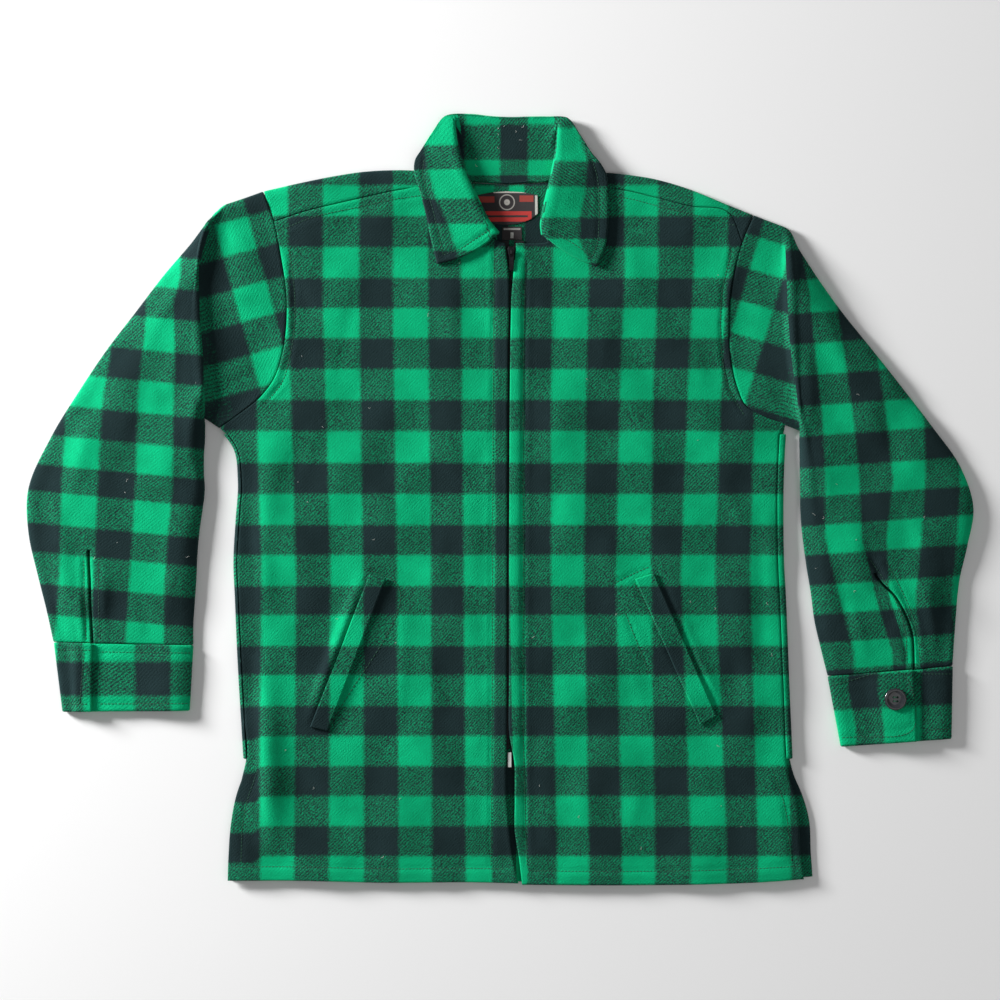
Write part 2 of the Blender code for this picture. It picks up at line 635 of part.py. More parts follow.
def build_cuff(name, corners, lap):
    """A cuff: a band wrapped round the wrist, its end on top lapped over the end below."""
    tl = np.array(corners[0:2], float)
    tr = np.array(corners[2:4], float)
    bl = np.array(corners[4:6], float)
    br = np.array(corners[6:8], float)
    low, mid, high = CUFF_LEVELS
    radius = (mid - low) / 2
    inset = CUFF_WALL / 2 + radius
    rows = []
    for v in np.linspace(0, 1, 4):
        left = tl + v * (bl - tl)
        right = tr + v * (br - tr)
        width = np.linalg.norm(right - left) * STEP
        way = (right - left) / np.linalg.norm(right - left)
        near = inset / width
        start = lap[0] + v * lap[1]
        stop = lap[2] + v * lap[3]
        path = [(start, mid), ((start + near) / 2, mid), (near, mid)]
        for k in (1, 2, 3):
            angle = math.pi * k / 4
            bulge = radius * math.sin(angle) / width
            path.append((near - bulge, low + radius * (1 + math.cos(angle))))
        for share in (near, 0.25, 0.5, 0.75, 1 - near):
            path.append((share, low))
        for k in (3, 2, 1):
            angle = math.pi * k / 4
            bulge = radius * math.sin(angle) / width
            path.append((1 - near + bulge, low + radius * (1 + math.cos(angle))))
        path.append((1 - near, mid))
        room = 1 - near - start
        climb = start + 0.2 * room
        path.append((start + 0.75 * room, mid + 0.2))
        path.append((start + 0.45 * room, mid + 0.9))
        path.append((climb, high - 0.4))
        path.append(((climb + stop) / 2, high + 0.1))
        path.append((stop, high))
        points = []
        for share, level in path:
            points.append(raised(left + (1 - share) * way * width / STEP, level))
        rows.append(points)
    grid = np.array(rows)
    return cloth(name, grid, CUFF_WALL, WOOL)


def collar_sections():
    """Points in mm of each section of the collar, from the neck seam over the roll to the edge."""
    first, last = COLLAR_OPEN
    half = COLLAR_WALL / 2
    out = []
    for i, row in enumerate(COLLAR):
        neck = np.array(lay(row[0], row[1]))
        roll = np.array(lay(row[3], row[4]))
        edge = np.array(lay(row[6], row[7]))
        neck_z, roll_z, edge_z, bow = row[2], row[5], row[8], row[9]
        points = []
        if first <= i <= last:
            count = STAND_CELLS + ROLL_CELLS + LEAF_CELLS
            for k in range(count + 1):
                t = k / count
                plan = neck + t * (edge - neck)
                points.append((*plan, neck_z + (edge_z - neck_z) * t ** 3))
        else:
            outward = roll - (neck + edge) / 2
            outward /= np.linalg.norm(outward)
            low_z = neck_z + min(1.2, 0.25 * (roll_z - neck_z - 2 * half))
            radius = (roll_z - low_z) / 2
            reach = min(radius, 3.4)
            centre = roll - outward * (half + reach)
            for k in range(STAND_CELLS):
                t = k / STAND_CELLS
                plan = neck + t * (centre - neck)
                points.append((*plan, neck_z + (low_z - neck_z) * t))
            for k in range(ROLL_CELLS + 1):
                angle = math.pi * k / ROLL_CELLS
                plan = centre + outward * reach * math.sin(angle)
                points.append((*plan, low_z + radius * (1 - math.cos(angle))))
            across = np.array((-(edge - centre)[1], (edge - centre)[0]))
            across /= max(np.linalg.norm(across), 1e-9)
            for k in range(1, LEAF_CELLS + 1):
                t = k / LEAF_CELLS
                plan = centre + t * (edge - centre) + across * bow * STEP * 4 * t * (1 - t)
                drop = t * t * (3 - 2 * t)
                points.append((*plan, roll_z + (edge_z - roll_z) * drop))
        out.append(points)
    return np.array(out)


def build_collar():
    """Collar: upright part and leaf in one folded sheet."""
    return cloth("collar", collar_sections(), COLLAR_WALL, WOOL)


def build_welt(name, corners):
    """Pocket welt: a folded strip on the front panel's own points, moved out."""
    a0 = np.array(corners[0:2], float)
    a1 = np.array(corners[2:4], float)
    b0 = np.array(corners[4:6], float)
    b1 = np.array(corners[6:8], float)
    v = np.linspace(0, 1, WELT_CELLS + 1)[:, None, None]
    u = np.linspace(0, 1, 4)[None, :, None]
    open_side = a0 + v * (a1 - a0)
    sewn_side = b0 + v * (b1 - b0)
    plan = open_side + u * (sewn_side - open_side)
    lift = WALL / 2 + GAP + 0.15 + WELT_WALL / 2
    height = front_height(plan[..., 0], plan[..., 1]) + lift
    return cloth(name, raised(plan, height), WELT_WALL, WOOL)


def build_zip_cloth():
    """Tapes and closed chain between the back panel and the fronts."""
    ys = np.array(TAPE_ROWS, float)
    centre = zip_x(ys)
    level = WALL + GAP + TAPE_WALL / 2
    sides = (("zip_tape_left", -TAPE_OUT, -TAPE_IN), ("zip_tape_right", TAPE_IN, TAPE_OUT))
    for name, near, far in sides:
        plan = np.stack([np.stack([centre + near, ys], 1), np.stack([centre + far, ys], 1)], axis=1)
        cloth(name, raised(plan, level), TAPE_WALL, TAPE)
    ys = np.array((CHAIN_TOP, *TAPE_ROWS[4:-1], CHAIN_END), float)
    centre = zip_x(ys)
    plan = np.stack([np.stack([centre + side * CHAIN_HALF, ys], 1) for side in (-1, 0, 1)], axis=1)
    cloth("zip_chain", raised(plan, WALL + GAP + CHAIN_WALL / 2), CHAIN_WALL, METAL)


def prism(name, outline, low, high, material, bevel=0.0):
    """Solid between two heights over an outline in mm, its upper and lower edges cut back."""
    mesh = bmesh.new()
    pts = np.asarray(outline, float)
    centre = pts.mean(axis=0)
    away = pts - centre
    run = np.linalg.norm(away, axis=1, keepdims=True)
    levels = [(low, bevel), (low + bevel, 0.0), (high - bevel, 0.0), (high, bevel)]
    if not bevel:
        levels = [(low, 0.0), (high, 0.0)]
    rings = []
    for z, shrink in levels:
        ring = centre + away * (1 - shrink / run)
        rings.append([mesh.verts.new((x * MM, y * MM, z * MM)) for x, y in ring])
    count = len(pts)
    for a, b in zip(rings, rings[1:]):
        for i in range(count):
            n = (i + 1) % count
            mesh.faces.new((a[i], a[n], b[n], b[i]))
    mesh.faces.new(list(reversed(rings[0])))
    mesh.faces.new(rings[-1])
    bmesh.ops.recalc_face_normals(mesh, faces=mesh.faces)
    return finish(name, mesh, material)


def combine(obj, other, operation):
    """Joins or cuts one solid with another, which is then removed."""
    change = obj.modifiers.new("combine", "BOOLEAN")
    change.operation = operation
    change.solver = "EXACT"
    change.object = other
    bpy.context.view_layer.objects.active = obj
    bpy.ops.object.modifier_apply(modifier=change.name)
    bpy.data.objects.remove(other)


def rod(name, points, radius, sides, material):
    """Round bar through points in mm."""
    mesh = bmesh.new()
    pts = np.asarray(points, float)
    ways = np.gradient(pts, axis=0)
    rings = []
    for p, way in zip(pts, ways):
        way = way / np.linalg.norm(way)
        up = np.array((1.0, 0.0, 0.0)) if abs(way[0]) < 0.9 else np.array((0.0, 1.0, 0.0))
        first = np.cross(way, up)
        first /= np.linalg.norm(first)
        second = np.cross(way, first)
        ring = []
        for k in range(sides):
            angle = 2 * math.pi * (k + 0.5) / sides
            spot = p + radius * (first * math.cos(angle) + second * math.sin(angle))
            ring.append(mesh.verts.new(spot * MM))
        rings.append(ring)
    for a, b in zip(rings, rings[1:]):
        for i in range(sides):
            n = (i + 1) % sides
            mesh.faces.new((a[i], a[n], b[n], b[i]))
    mesh.faces.new(list(reversed(rings[0])))
    mesh.faces.new(rings[-1])
    bmesh.ops.recalc_face_normals(mesh, faces=mesh.faces)
    return finish(name, mesh, material)


def build_slider():
    """Slider with its bail, and the pull tab that hangs on it."""
    x, y = lay(*SLIDER_AT)
    outline = [(x + sx * SLIDER_WIDE / 2, y + sy * SLIDER_LONG / 2) for sx, sy in SLIDER_OUTLINE]
    slider = prism("zip_slider", outline, SLIDER_LOW, SLIDER_TOP, METAL, 0.5)
    sink = SLIDER_TOP - 0.6
    peak = SLIDER_TOP + BAIL_RISE
    reach = BAIL_REACH
    arch = [
        (x, y - reach, sink), (x, y - reach, peak - 0.9), (x, y - reach + 0.7, peak),
        (x, y + reach - 0.7, peak), (x, y + reach, peak - 0.9), (x, y + reach, sink),
    ]
    combine(slider, rod("bail", arch, BAIL_RADIUS, 8, METAL), "UNION")

    half = PULL_THICK / 2
    pull = prism("zip_pull", PULL_OUTLINE, -half, half, METAL, 0.25)
    ring = [
        (-PULL_SLOT, -PULL_SLOT_FAR), (PULL_SLOT, -PULL_SLOT_FAR),
        (PULL_SLOT, -PULL_BAR), (-PULL_SLOT, -PULL_BAR),
    ]
    combine(pull, prism("slot", ring, -PULL_THICK, PULL_THICK, METAL), "DIFFERENCE")
    pull.location = (x * MM, y * MM, (SLIDER_TOP + GAP + half + 0.05) * MM)


def build_button():
    """Four-hole button of the right cuff."""
    x, y = lay(*BUTTON_AT)
    mesh = bmesh.new()
    rings = []
    for radius, z in BUTTON_PROFILE:
        if radius == 0.0:
            rings.append([mesh.verts.new((x * MM, y * MM, (BUTTON_LOW + z) * MM))])
            continue
        ring = []
        for k in range(BUTTON_SIDES):
            angle = 2 * math.pi * k / BUTTON_SIDES
            px = x + radius * math.cos(angle)
            py = y + radius * math.sin(angle)
            ring.append(mesh.verts.new((px * MM, py * MM, (BUTTON_LOW + z) * MM)))
        rings.append(ring)
    for a, b in zip(rings, rings[1:]):
        for i in range(BUTTON_SIDES):
            n = (i + 1) % BUTTON_SIDES
            if len(a) == 1:
                mesh.faces.new((a[0], b[i], b[n]))
            elif len(b) == 1:
                mesh.faces.new((a[i], a[n], b[0]))
            else:
                mesh.faces.new((a[i], a[n], b[n], b[i]))
    bmesh.ops.recalc_face_normals(mesh, faces=mesh.faces)
    button = finish("cuff_button", mesh, BUTTON)
    for sx, sy in ((-1, -1), (1, -1), (1, 1), (-1, 1)):
        hx = x + sx * HOLE_OUT
        hy = y + sy * HOLE_OUT
        circle = []
        for k in range(8):
            angle = math.pi * k / 4
            circle.append((hx + HOLE_RADIUS * math.cos(angle), hy + HOLE_RADIUS * math.sin(angle)))
        combine(button, prism("hole", circle, BUTTON_LOW - 1, BUTTON_LOW + 6, BUTTON), "DIFFERENCE")


def build_labels():
    """Neck label and size tab on the inside of the back, and the retainer box of the zip."""
    low = WALL + GAP
    prism("neck_label", [lay(px, py) for px, py in LABEL_OUTLINE], low, low + LABEL_WALL, LABEL)
    prism("size_tab", [lay(px, py) for px, py in TAB_OUTLINE], low, low + LABEL_WALL, LABEL)
    x, y = lay(*ZIP_BOX_AT)
    wide, deep, tall = ZIP_BOX_SIZE
    outline = [
        (x - wide / 2, y - deep / 2), (x + wide / 2, y - deep / 2),
        (x + wide / 2, y + deep / 2), (x - wide / 2, y + deep / 2),
    ]
    base = WALL + TAPE_WALL + 2 * GAP
    prism("zip_box", outline, base, base + tall, PALE, 0.5)


def main():
    """Builds every piece of the garment."""
    for obj in list(bpy.data.objects):
        bpy.data.objects.remove(obj)
    for name, colour, roughness, metallic in MATERIALS:
        material = bpy.data.materials.new(name)
        material.use_nodes = True
        shader = material.node_tree.nodes["Principled BSDF"]
        shader.inputs["Base Color"].default_value = (*colour, 1.0)
        shader.inputs["Roughness"].default_value = roughness
        shader.inputs["Metallic"].default_value = metallic
    build_back()
    build_fronts()
    build_sleeve("sleeve_left", ARMHOLE_LEFT, RIDGE_LEFT, LEFT_SECTIONS, LEFT_SLEEVE_FOLDS, 1)
    build_sleeve("sleeve_right", ARMHOLE_RIGHT, RIDGE_RIGHT, RIGHT_SECTIONS, RIGHT_SLEEVE_FOLDS, -1)
    build_cuff("cuff_left", CUFF_LEFT, LAP_LEFT)
    build_cuff("cuff_right", CUFF_RIGHT, LAP_RIGHT)
    build_collar()
    build_welt("pocket_welt_left", WELT_LEFT)
    build_welt("pocket_welt_right", WELT_RIGHT)
    build_zip_cloth()
    build_slider()
    build_button()
    build_labels()


main()
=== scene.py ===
"""Wool check shirt-jacket, laid flat with its front up: the cloth, sewing, zip and button that show.

+Z is up and the garment rests on z = 0. +Y runs from the hem to the collar and +X to the right of
someone who looks down at the front. Left and right are that person's.
"""

import math

import bpy
import numpy as np
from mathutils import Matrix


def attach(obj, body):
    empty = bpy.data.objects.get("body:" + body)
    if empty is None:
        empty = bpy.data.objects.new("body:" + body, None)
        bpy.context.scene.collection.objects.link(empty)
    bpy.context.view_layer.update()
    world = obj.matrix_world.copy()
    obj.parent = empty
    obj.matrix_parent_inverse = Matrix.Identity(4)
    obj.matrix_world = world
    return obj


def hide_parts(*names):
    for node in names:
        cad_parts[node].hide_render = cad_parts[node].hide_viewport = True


bl_info = {
    "name": "Wool check shirt-jacket",
    "version": (1, 0, 0),
    "blender": (4, 5, 0),
    "location": "3D View > Sidebar > Jacket",
    "description": "Cloth, sewing, zip and button of a zip-front shirt-jacket laid flat",
    "category": "Add Mesh",
}

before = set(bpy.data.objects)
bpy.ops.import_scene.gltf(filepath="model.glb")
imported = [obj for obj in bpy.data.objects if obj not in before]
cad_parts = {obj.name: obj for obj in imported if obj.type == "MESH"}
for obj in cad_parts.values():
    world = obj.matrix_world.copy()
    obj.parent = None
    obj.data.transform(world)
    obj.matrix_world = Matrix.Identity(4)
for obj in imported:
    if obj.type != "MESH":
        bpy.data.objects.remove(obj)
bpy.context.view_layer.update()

MM = 0.001
STEP = 1.0623  # mm in one step of the layout grid, which counts x to the right, y to the hem
GRID_X = 500.5  # the layout point that lies over the origin
GRID_Y = 499.5
COAT = "coat"  # body that all the pieces ride on

WALL = 2.8  # wool of the body and sleeves, mm
CUFF_WALL = 3.6  # two layers of wool, pressed
COLLAR_WALL = 4.2
WELT_WALL = 2.8
TAPE_WALL = 1.0
LABEL_WALL = 0.6
GAP = 0.3  # between pieces that touch
LOWER = WALL / 2  # middle of the layer that lies on the table
TURN = 1.65  # radius of a turned edge, at the middle of the wall
UPPER = LOWER + 2 * TURN  # middle of the layer that lies on it
SEAM = 0.2  # half the distance between two panels at a seam

WOOL = "wool_check"
TAPE = "zip_tape_cloth"
METAL = "zip_black_metal"
# Finish of the zip's bottom box: its pale matte colour is a painted glint, the light that its metal catches.
ZIP_BOX_GLINT = "zip_pale_metal"
BUTTON = "button_horn"
LABEL = "label_cloth"
THREAD = "sewing_thread"
LINT = "pale_fibre"

LABEL_TOP = ((476, 195), (491, 192), (507, 191), (523, 192), (538, 194.8))
LABEL_FOOT = ((475.5, 213), (483, 219), (495, 223.5), (507, 225), (519, 223.5), (531, 219), (538.5, 213))
LABEL_TALL = 33.0
TAB_TOP = ((502, 226.5), (522, 226.5))
TAB_FOOT = ((502, 239.8), (522, 239.8))
TAB_TALL = 13.3
# Fields of both labels: from and to across, from and to down, colour. The tab counts down from 2.
LABEL_FIELDS = (
    (0.03, 0.30, 0.03, 0.22, (0.36, 0.030, 0.018)),
    (0.70, 0.93, 0.00, 0.20, (0.36, 0.030, 0.018)),
    (0.10, 0.90, 0.48, 0.80, (0.55, 0.020, 0.014)),
    (0.16, 0.84, 0.60, 0.67, (0.02, 0.012, 0.012)),
    (0.28, 0.93, -0.14, -0.07, (0.58, 0.55, 0.50)),
    (0.95, 1.00, 0.00, 0.60, (0.62, 0.60, 0.56)),
    (0.08, 0.92, 2.10, 2.24, (0.40, 0.39, 0.37)),
    (0.42, 0.58, 2.42, 2.86, (0.46, 0.45, 0.43)),
)
LABEL_RING = (0.50, 0.21, (0.20, 0.25), (0.00, 0.10))

BUTTON_TURN = (
    (9.2, 0.0), (10.6, 0.35), (11.5, 1.0), (11.8, 1.7), (11.6, 2.4), (11.0, 3.0), (10.2, 3.3),
    (9.4, 3.2),
    (8.4, 2.7), (7.0, 2.0), (5.6, 1.7), (1.0, 1.6),
)
# Where fibres cling: piece, from x, y, to x, y, how many.
LINT_FIELDS = (
    ("wool_front_left", 250, 260, 490, 860, 14),
    ("wool_front_right", 530, 260, 780, 860, 16),
    ("wool_sleeve_left", 60, 260, 200, 630, 8),
    ("wool_sleeve_right", 810, 280, 950, 640, 10),
    ("wool_collar", 470, 122, 545, 170, 9),
)
# Clouded finishes: roughness, metallic, scale and detail of the cloud, its dark and light colour,
# height in mm and strength of its grain, share and start of the roughness that it sets.
CLOUDED = (
    (METAL, 0.34, 0.9, 260.0, 4.0, (0.006, 0.006, 0.007), (0.050, 0.050, 0.054), None, (0.35, 0.20)),
    # The zip box's pale colours are a painted glint on its metal.
    (ZIP_BOX_GLINT, 0.40, 0.0, 320.0, 3.0, (0.42, 0.43, 0.42), (0.80, 0.80, 0.78), (0.15, 0.4), None),
    (BUTTON, 0.16, 0.0, 150.0, 5.0, (0.004, 0.005, 0.007), (0.034, 0.038, 0.044), None, (0.16, 0.12)),
    (LINT, 0.8, 0.0, 400.0, 1.0, (0.30, 0.36, 0.32), (0.80, 0.82, 0.78), None, None),
)
LIGHTS = (
    # name, place m, side m, power W
    ("key", (-2.9, 1.35, 1.0), 0.8, 255.0),
    ("fill", (1.2, -1.0, 2.8), 3.0, 16.0),
)
WORLD_LIGHT = 0.19
CAMERA_HIGH = 4.0

# Layout lines, each row a point: x, y in steps of the grid.
ARMHOLE_LEFT = (
    (263, 191), (269, 206), (274, 222), (281, 258), (286, 293), (286, 326), (282, 354),
    (274, 378), (260, 397), (240, 413), (219, 428),
)
ARMHOLE_RIGHT = (
    (754, 215), (747, 230), (739, 253), (731, 290), (729, 326), (730, 352), (736, 384),
    (748, 408), (768, 418), (787, 424),
)
RIDGE_LEFT = ((228, 204), (209, 222), (201, 245), (199, 300), (203, 360), (204, 418))
RIDGE_RIGHT = ((785, 227), (786, 250), (788, 300), (791, 350), (798, 400), (801, 431))
SHOULDER_LEFT = ((263, 191), (303, 182), (333, 176), (379, 170), (433, 171))
SHOULDER_RIGHT = (
    (754, 215), (739, 210), (706, 196), (666, 181), (643, 177), (606, 172), (586, 171),
)
SEAM_LEFT = ((271.5, 224), (309, 210), (356, 199), (391, 191), (419, 187), (434.5, 186))
SEAM_RIGHT = (
    (748.5, 226), (737, 217), (699, 208), (663, 199), (626, 190), (600, 187), (584.5, 186),
)
SIDE_LEFT = (
    (219, 428), (232, 446), (238, 471), (233, 560), (235, 610), (237, 660), (240, 709), (243, 759),
)
SIDE_RIGHT = (
    (787, 424), (785, 457), (783.5, 500), (784.5, 562), (787, 610), (790, 690), (793, 759),
)
SLIT_LEFT_BACK = ((243, 759), (242, 777), (236, 801), (232.5, 822), (229.5, 863), (229, 880))
SLIT_LEFT_FRONT = ((246.6, 759), (242.5, 777), (234.5, 801), (231, 822), (228, 863), (227.5, 881))
SLIT_RIGHT_BACK = ((793, 759), (795, 778), (801, 791), (808, 812), (811.5, 856), (813, 877))
SLIT_RIGHT_FRONT = (
    (786.2, 759), (788.5, 776), (792, 785), (798, 812), (800, 845), (804, 879.5),
)
EDGE_LEFT = (
    (505, 243), (506.6, 248), (507, 262), (508.6, 275), (509.4, 290), (508.2, 340), (507.4, 420),
    (507, 570), (506.6, 740), (505.8, 780), (506.6, 800), (509, 828), (511.6, 855), (515.5, 868),
    (518.5, 883.5),
)
EDGE_RIGHT = (
    (516, 243), (516.4, 250), (516, 262), (513, 275), (511.6, 290), (510.4, 340), (509.6, 420),
    (509, 570), (509, 732), (510.5, 740), (514.8, 747), (514.8, 800), (514.6, 846), (517.5, 857),
    (521.2, 866), (522, 885),
)
CORNER_RIGHT = ((518, 243), (521, 243), (524.5, 243.5), (529, 243.5), (537, 243.5))
HEM_LEFT = ((227.5, 881), (302, 881), (383, 883), (465, 882.5), (518.5, 883.5))
HEM_RIGHT = ((522, 885), (592, 885.5), (681, 885), (770, 882), (804, 879.5))
HEM_BACK = (
    (229, 880), (302, 880), (400, 882), (510, 882), (592, 884), (681, 884), (770, 881), (813, 877),
)
SEAM_INSET_LEFT = 3.6  # steps from the left silhouette to the side seam
SEAM_INSET_RIGHT = 6.8

# Centre line of the zip: y, x.
ZIP_LINE = (
    (241, 511.6), (262, 511.4), (275, 510.8), (290, 510.5), (340, 509.3), (420, 508.5), (570, 508),
    (775, 507.8),
)

# Soft folds. Columns: from x, y, to x, y, rise mm, reach in steps to the left and to the right.
FRONT_FOLDS = (
    (266, 650, 272, 862, 3.4, 10, 17),
    (300, 400, 262, 520, 1.6, 18, 14),
    (300, 505, 318, 690, 1.0, 26, 16),
    (405, 600, 398, 730, 1.3, 9, 7),
    (440, 250, 452, 480, 1.2, 34, 22),
    (392, 760, 398, 880, 1.5, 18, 14),
    (556, 300, 566, 560, 1.2, 20, 30),
    (618, 610, 650, 735, 1.2, 8, 8),
    (700, 400, 738, 520, 1.6, 16, 16),
    (742, 560, 752, 800, 1.8, 18, 12),
    (588, 730, 584, 880, 1.6, 16, 18),
    (363, 580, 305, 724, 1.5, 5, 3),
    (659, 580, 722, 712, 1.5, 4, 5),
    (690, 770, 694, 880, 1.3, 16, 16),
    (283, 250, 289, 345, 1.3, 5, 7),
    (284, 345, 262, 397, 1.3, 6, 6),
    (738, 262, 728, 345, 1.3, 7, 5),
    (729, 350, 750, 408, 1.3, 5, 6),
)
LEFT_SLEEVE_FOLDS = (
    (120, 400, 95, 520, 2.2, 20, 16),
    (172, 470, 160, 600, 1.8, 14, 18),
    (60, 560, 82, 640, 1.6, 12, 6),
    (232, 250, 262, 262, 1.0, 10, 12),
    (222, 330, 262, 318, 1.2, 12, 14),
)
RIGHT_SLEEVE_FOLDS = (
    (838, 330, 880, 470, 2.0, 18, 18),
    (842, 500, 872, 600, 2.2, 16, 12),
    (930, 540, 926, 640, 2.4, 14, 10),
    (748, 262, 775, 268, 1.0, 10, 12),
    (750, 342, 785, 350, 1.2, 12, 12),
)

# Guide rings between armhole and ridge: share of the way, rise of the upper layer in mm.
CAP_RINGS = ((0.0, 0.4), (0.12, 0.0), (0.45, 0.4), (0.80, 0.9), (0.93, 3.0), (1.0, 9.0))
# Sections of the sleeves from the ridge to the cuff: outer x, y, under x, y, bow towards the body,
# rise of the upper layer in mm, place of the placket slit as a share from the outer edge.
LEFT_SECTIONS = (
    (214, 215, 204, 427, -18, 10.0, 0.50),
    (192, 243, 204, 440, -22, 9.0, 0.50),
    (166, 273, 203, 456, -18, 7.5, 0.48),
    (138, 309, 203, 474, -10, 6.0, 0.46),
    (107, 349, 204, 492, -5, 5.0, 0.44),
    (78, 392, 202, 510, 0, 4.5, 0.42),
    (50, 438, 199, 532, 0, 4.5, 0.40),
    (27, 493, 197, 556, 0, 4.5, 0.38),
    (28, 533, 196, 580, 0, 4.0, 0.363),
    (37, 574, 194.5, 602, 0, 3.5, 0.337),
    (46, 610, 193, 624, 0, 3.0, 0.306),
    (53, 642, 193, 645, 0, 2.2, 0.282),
)
RIGHT_SECTIONS = (
    (798, 248, 801, 441, 0, 9.5, 0.50),
    (816, 276, 801, 455, -4, 9.0, 0.50),
    (842, 312, 801, 472, -4, 7.5, 0.52),
    (872, 349, 801, 490, -3, 6.5, 0.55),
    (903, 388, 801, 508, 0, 5.5, 0.58),
    (933, 427, 802, 527, 0, 5.0, 0.60),
    (962, 469, 804, 546, 0, 4.8, 0.61),
    (974, 508, 807, 568, 0, 4.5, 0.61),
    (968, 545, 811, 592, 0, 4.2, 0.595),
    (960, 580, 815, 622, 0, 3.8, 0.44),
    (956, 622, 821, 648, 0, 3.2, 0.333),
    (953, 666, 828, 676, 0, 2.2, 0.312),
)
SLIT_FROM = 8  # first section whose placket is open
SLIT_HALF = 0.008  # half the width of the placket slit, as a share of the section
# Shares of the way from the shoulder to the underarm.
ROUND_SHARES = (0.0, 0.12, 0.25, 0.36, 0.46, 0.54, 0.63, 0.72, 0.81, 0.89, 0.95, 1.0)
BACK_SHARES = (0, 1, 3, 5, 7, 9, 11)  # those that the layer on the table has too
SIDE_ROWS = (434, 446, 480, 520, 562, 600, 640, 680, 720, 759)  # y of the rows at a side seam
SLIT_ROWS = (0.14, 0.30, 0.52, 0.80, 1.0)  # shares from the slit's top to the hem
SHOULDER_CELLS = 5
UNDERARM_IN = np.array((1.4, 0.5))  # steps by which a panel's corner keeps clear of the sleeve's turn

# Sections of the collar from its left front end round the back to its right front end:
# neck seam x, y, height mm, roll x, y, height mm, free edge x, y, height mm, bow of the leaf.
COLLAR = (
    (497, 240, 6.2, 500.5, 233, 10.8, 437, 264, 9.0, 5),
    (485, 231, 6.4, 491, 222, 12.6, 431, 240, 9.0, 1),
    (470, 217, 6.6, 482.5, 206, 14.0, 425, 211, 8.8, 0),
    (455, 204, 6.6, 475, 190, 14.6, 419, 189, 9.0, 0),
    (442, 193, 6.4, 468, 174, 14.6, 414, 172, 9.4, 0),
    (436, 185.5, 5.8, 463, 160, 13.6, 415, 160, 9.6, 0),
    (436.8, 180.2, 3.8, 459, 143, 12.0, 421, 150, 9.0, 0),
    (444, 180.8, 2.5, 456, 128, 10.5, 433, 131, 7.6, 0),
    (455, 181.5, 2.15, 453.5, 115.5, 8.5, 443.5, 117, 7.2, 0),
    (470, 182, 2.15, 470, 120, 2.6, 471, 113.5, 4.0, 0),
    (488, 182.8, 2.15, 489, 121, 2.6, 490, 115.5, 3.6, 0),
    (507, 183.8, 2.15, 511, 122, 2.6, 511, 116.5, 3.4, 0),
    (528, 182.8, 2.15, 531, 122, 2.6, 531, 116, 3.6, 0),
    (546, 182, 2.15, 548, 121, 2.6, 547, 116, 4.0, 0),
    (560, 181.3, 2.15, 559.5, 117.5, 8.0, 568, 118, 6.8, 0),
    (573, 180.8, 2.5, 557, 133, 10.0, 580.5, 135, 7.4, 0),
    (582, 180.2, 3.8, 555, 150, 11.6, 592, 153, 9.0, 0),
    (583, 185.5, 5.8, 552, 166, 13.4, 601, 164, 9.4, 0),
    (577, 194, 6.4, 549, 181, 14.4, 606.5, 174, 9.2, 0),
    (568, 205, 6.6, 545, 197, 14.2, 608, 196, 9.0, 0),
    (559, 218, 6.6, 541.5, 212, 13.6, 608.5, 220, 9.0, 0),
    (552, 231, 6.4, 540, 225, 12.4, 606, 244, 9.0, -1),
    (548, 241, 6.2, 541.5, 235, 10.8, 597, 267, 9.0, -3),
)
COLLAR_OPEN = (9, 13)  # first and last section where the collar lies open
COLLAR_BACK = (6, 16)  # first and last section that is sewn to the back panel
STAND_CELLS = 4
ROLL_CELLS = 4
LEAF_CELLS = 5

# Cuffs: top left x, y, top right x, y, bottom left x, y, bottom right x, y.
CUFF_LEFT = (53.3, 642.3, 193.2, 645.3, 62, 712, 189.5, 711)
CUFF_RIGHT = (827.8, 676.3, 953.3, 666.3, 841, 747, 952, 739)
# Where the covered end and the end on top lie, each as a share across at the top edge and its
# change down to the bottom edge. Counted from the right.
LAP_LEFT = (0.82, 0.04, 0.72, 0.045)
LAP_RIGHT = (0.5, 0.0, 0.32, 0.0)
CUFF_LEVELS = (1.8, 5.8, 9.8)  # middle of each of the three layers, mm

# Pocket welts: the long open side from x, y, to x, y and the sewn side from x, y, to x, y.
WELT_LEFT = (369.5, 574, 310, 727, 386, 578, 327.5, 731)
WELT_RIGHT = (654, 573, 716.5, 716, 635, 579, 700, 725)
WELT_CELLS = 8

# Zip: rows of the tapes, half widths in steps, then sizes in mm.
TAPE_ROWS = (240.5, 248, 256, 264, 275, 290, 340, 420, 570, 700, 770)
TAPE_IN = 2.5
TAPE_OUT = 12.5
CHAIN_TOP = 259.5
CHAIN_END = 750.5
# Button of the right cuff, mm.
BUTTON_AT = (895, 699)
BUTTON_LOW = 12.0
HOLE_OUT = 2.1
HOLE_RADIUS = 1.15

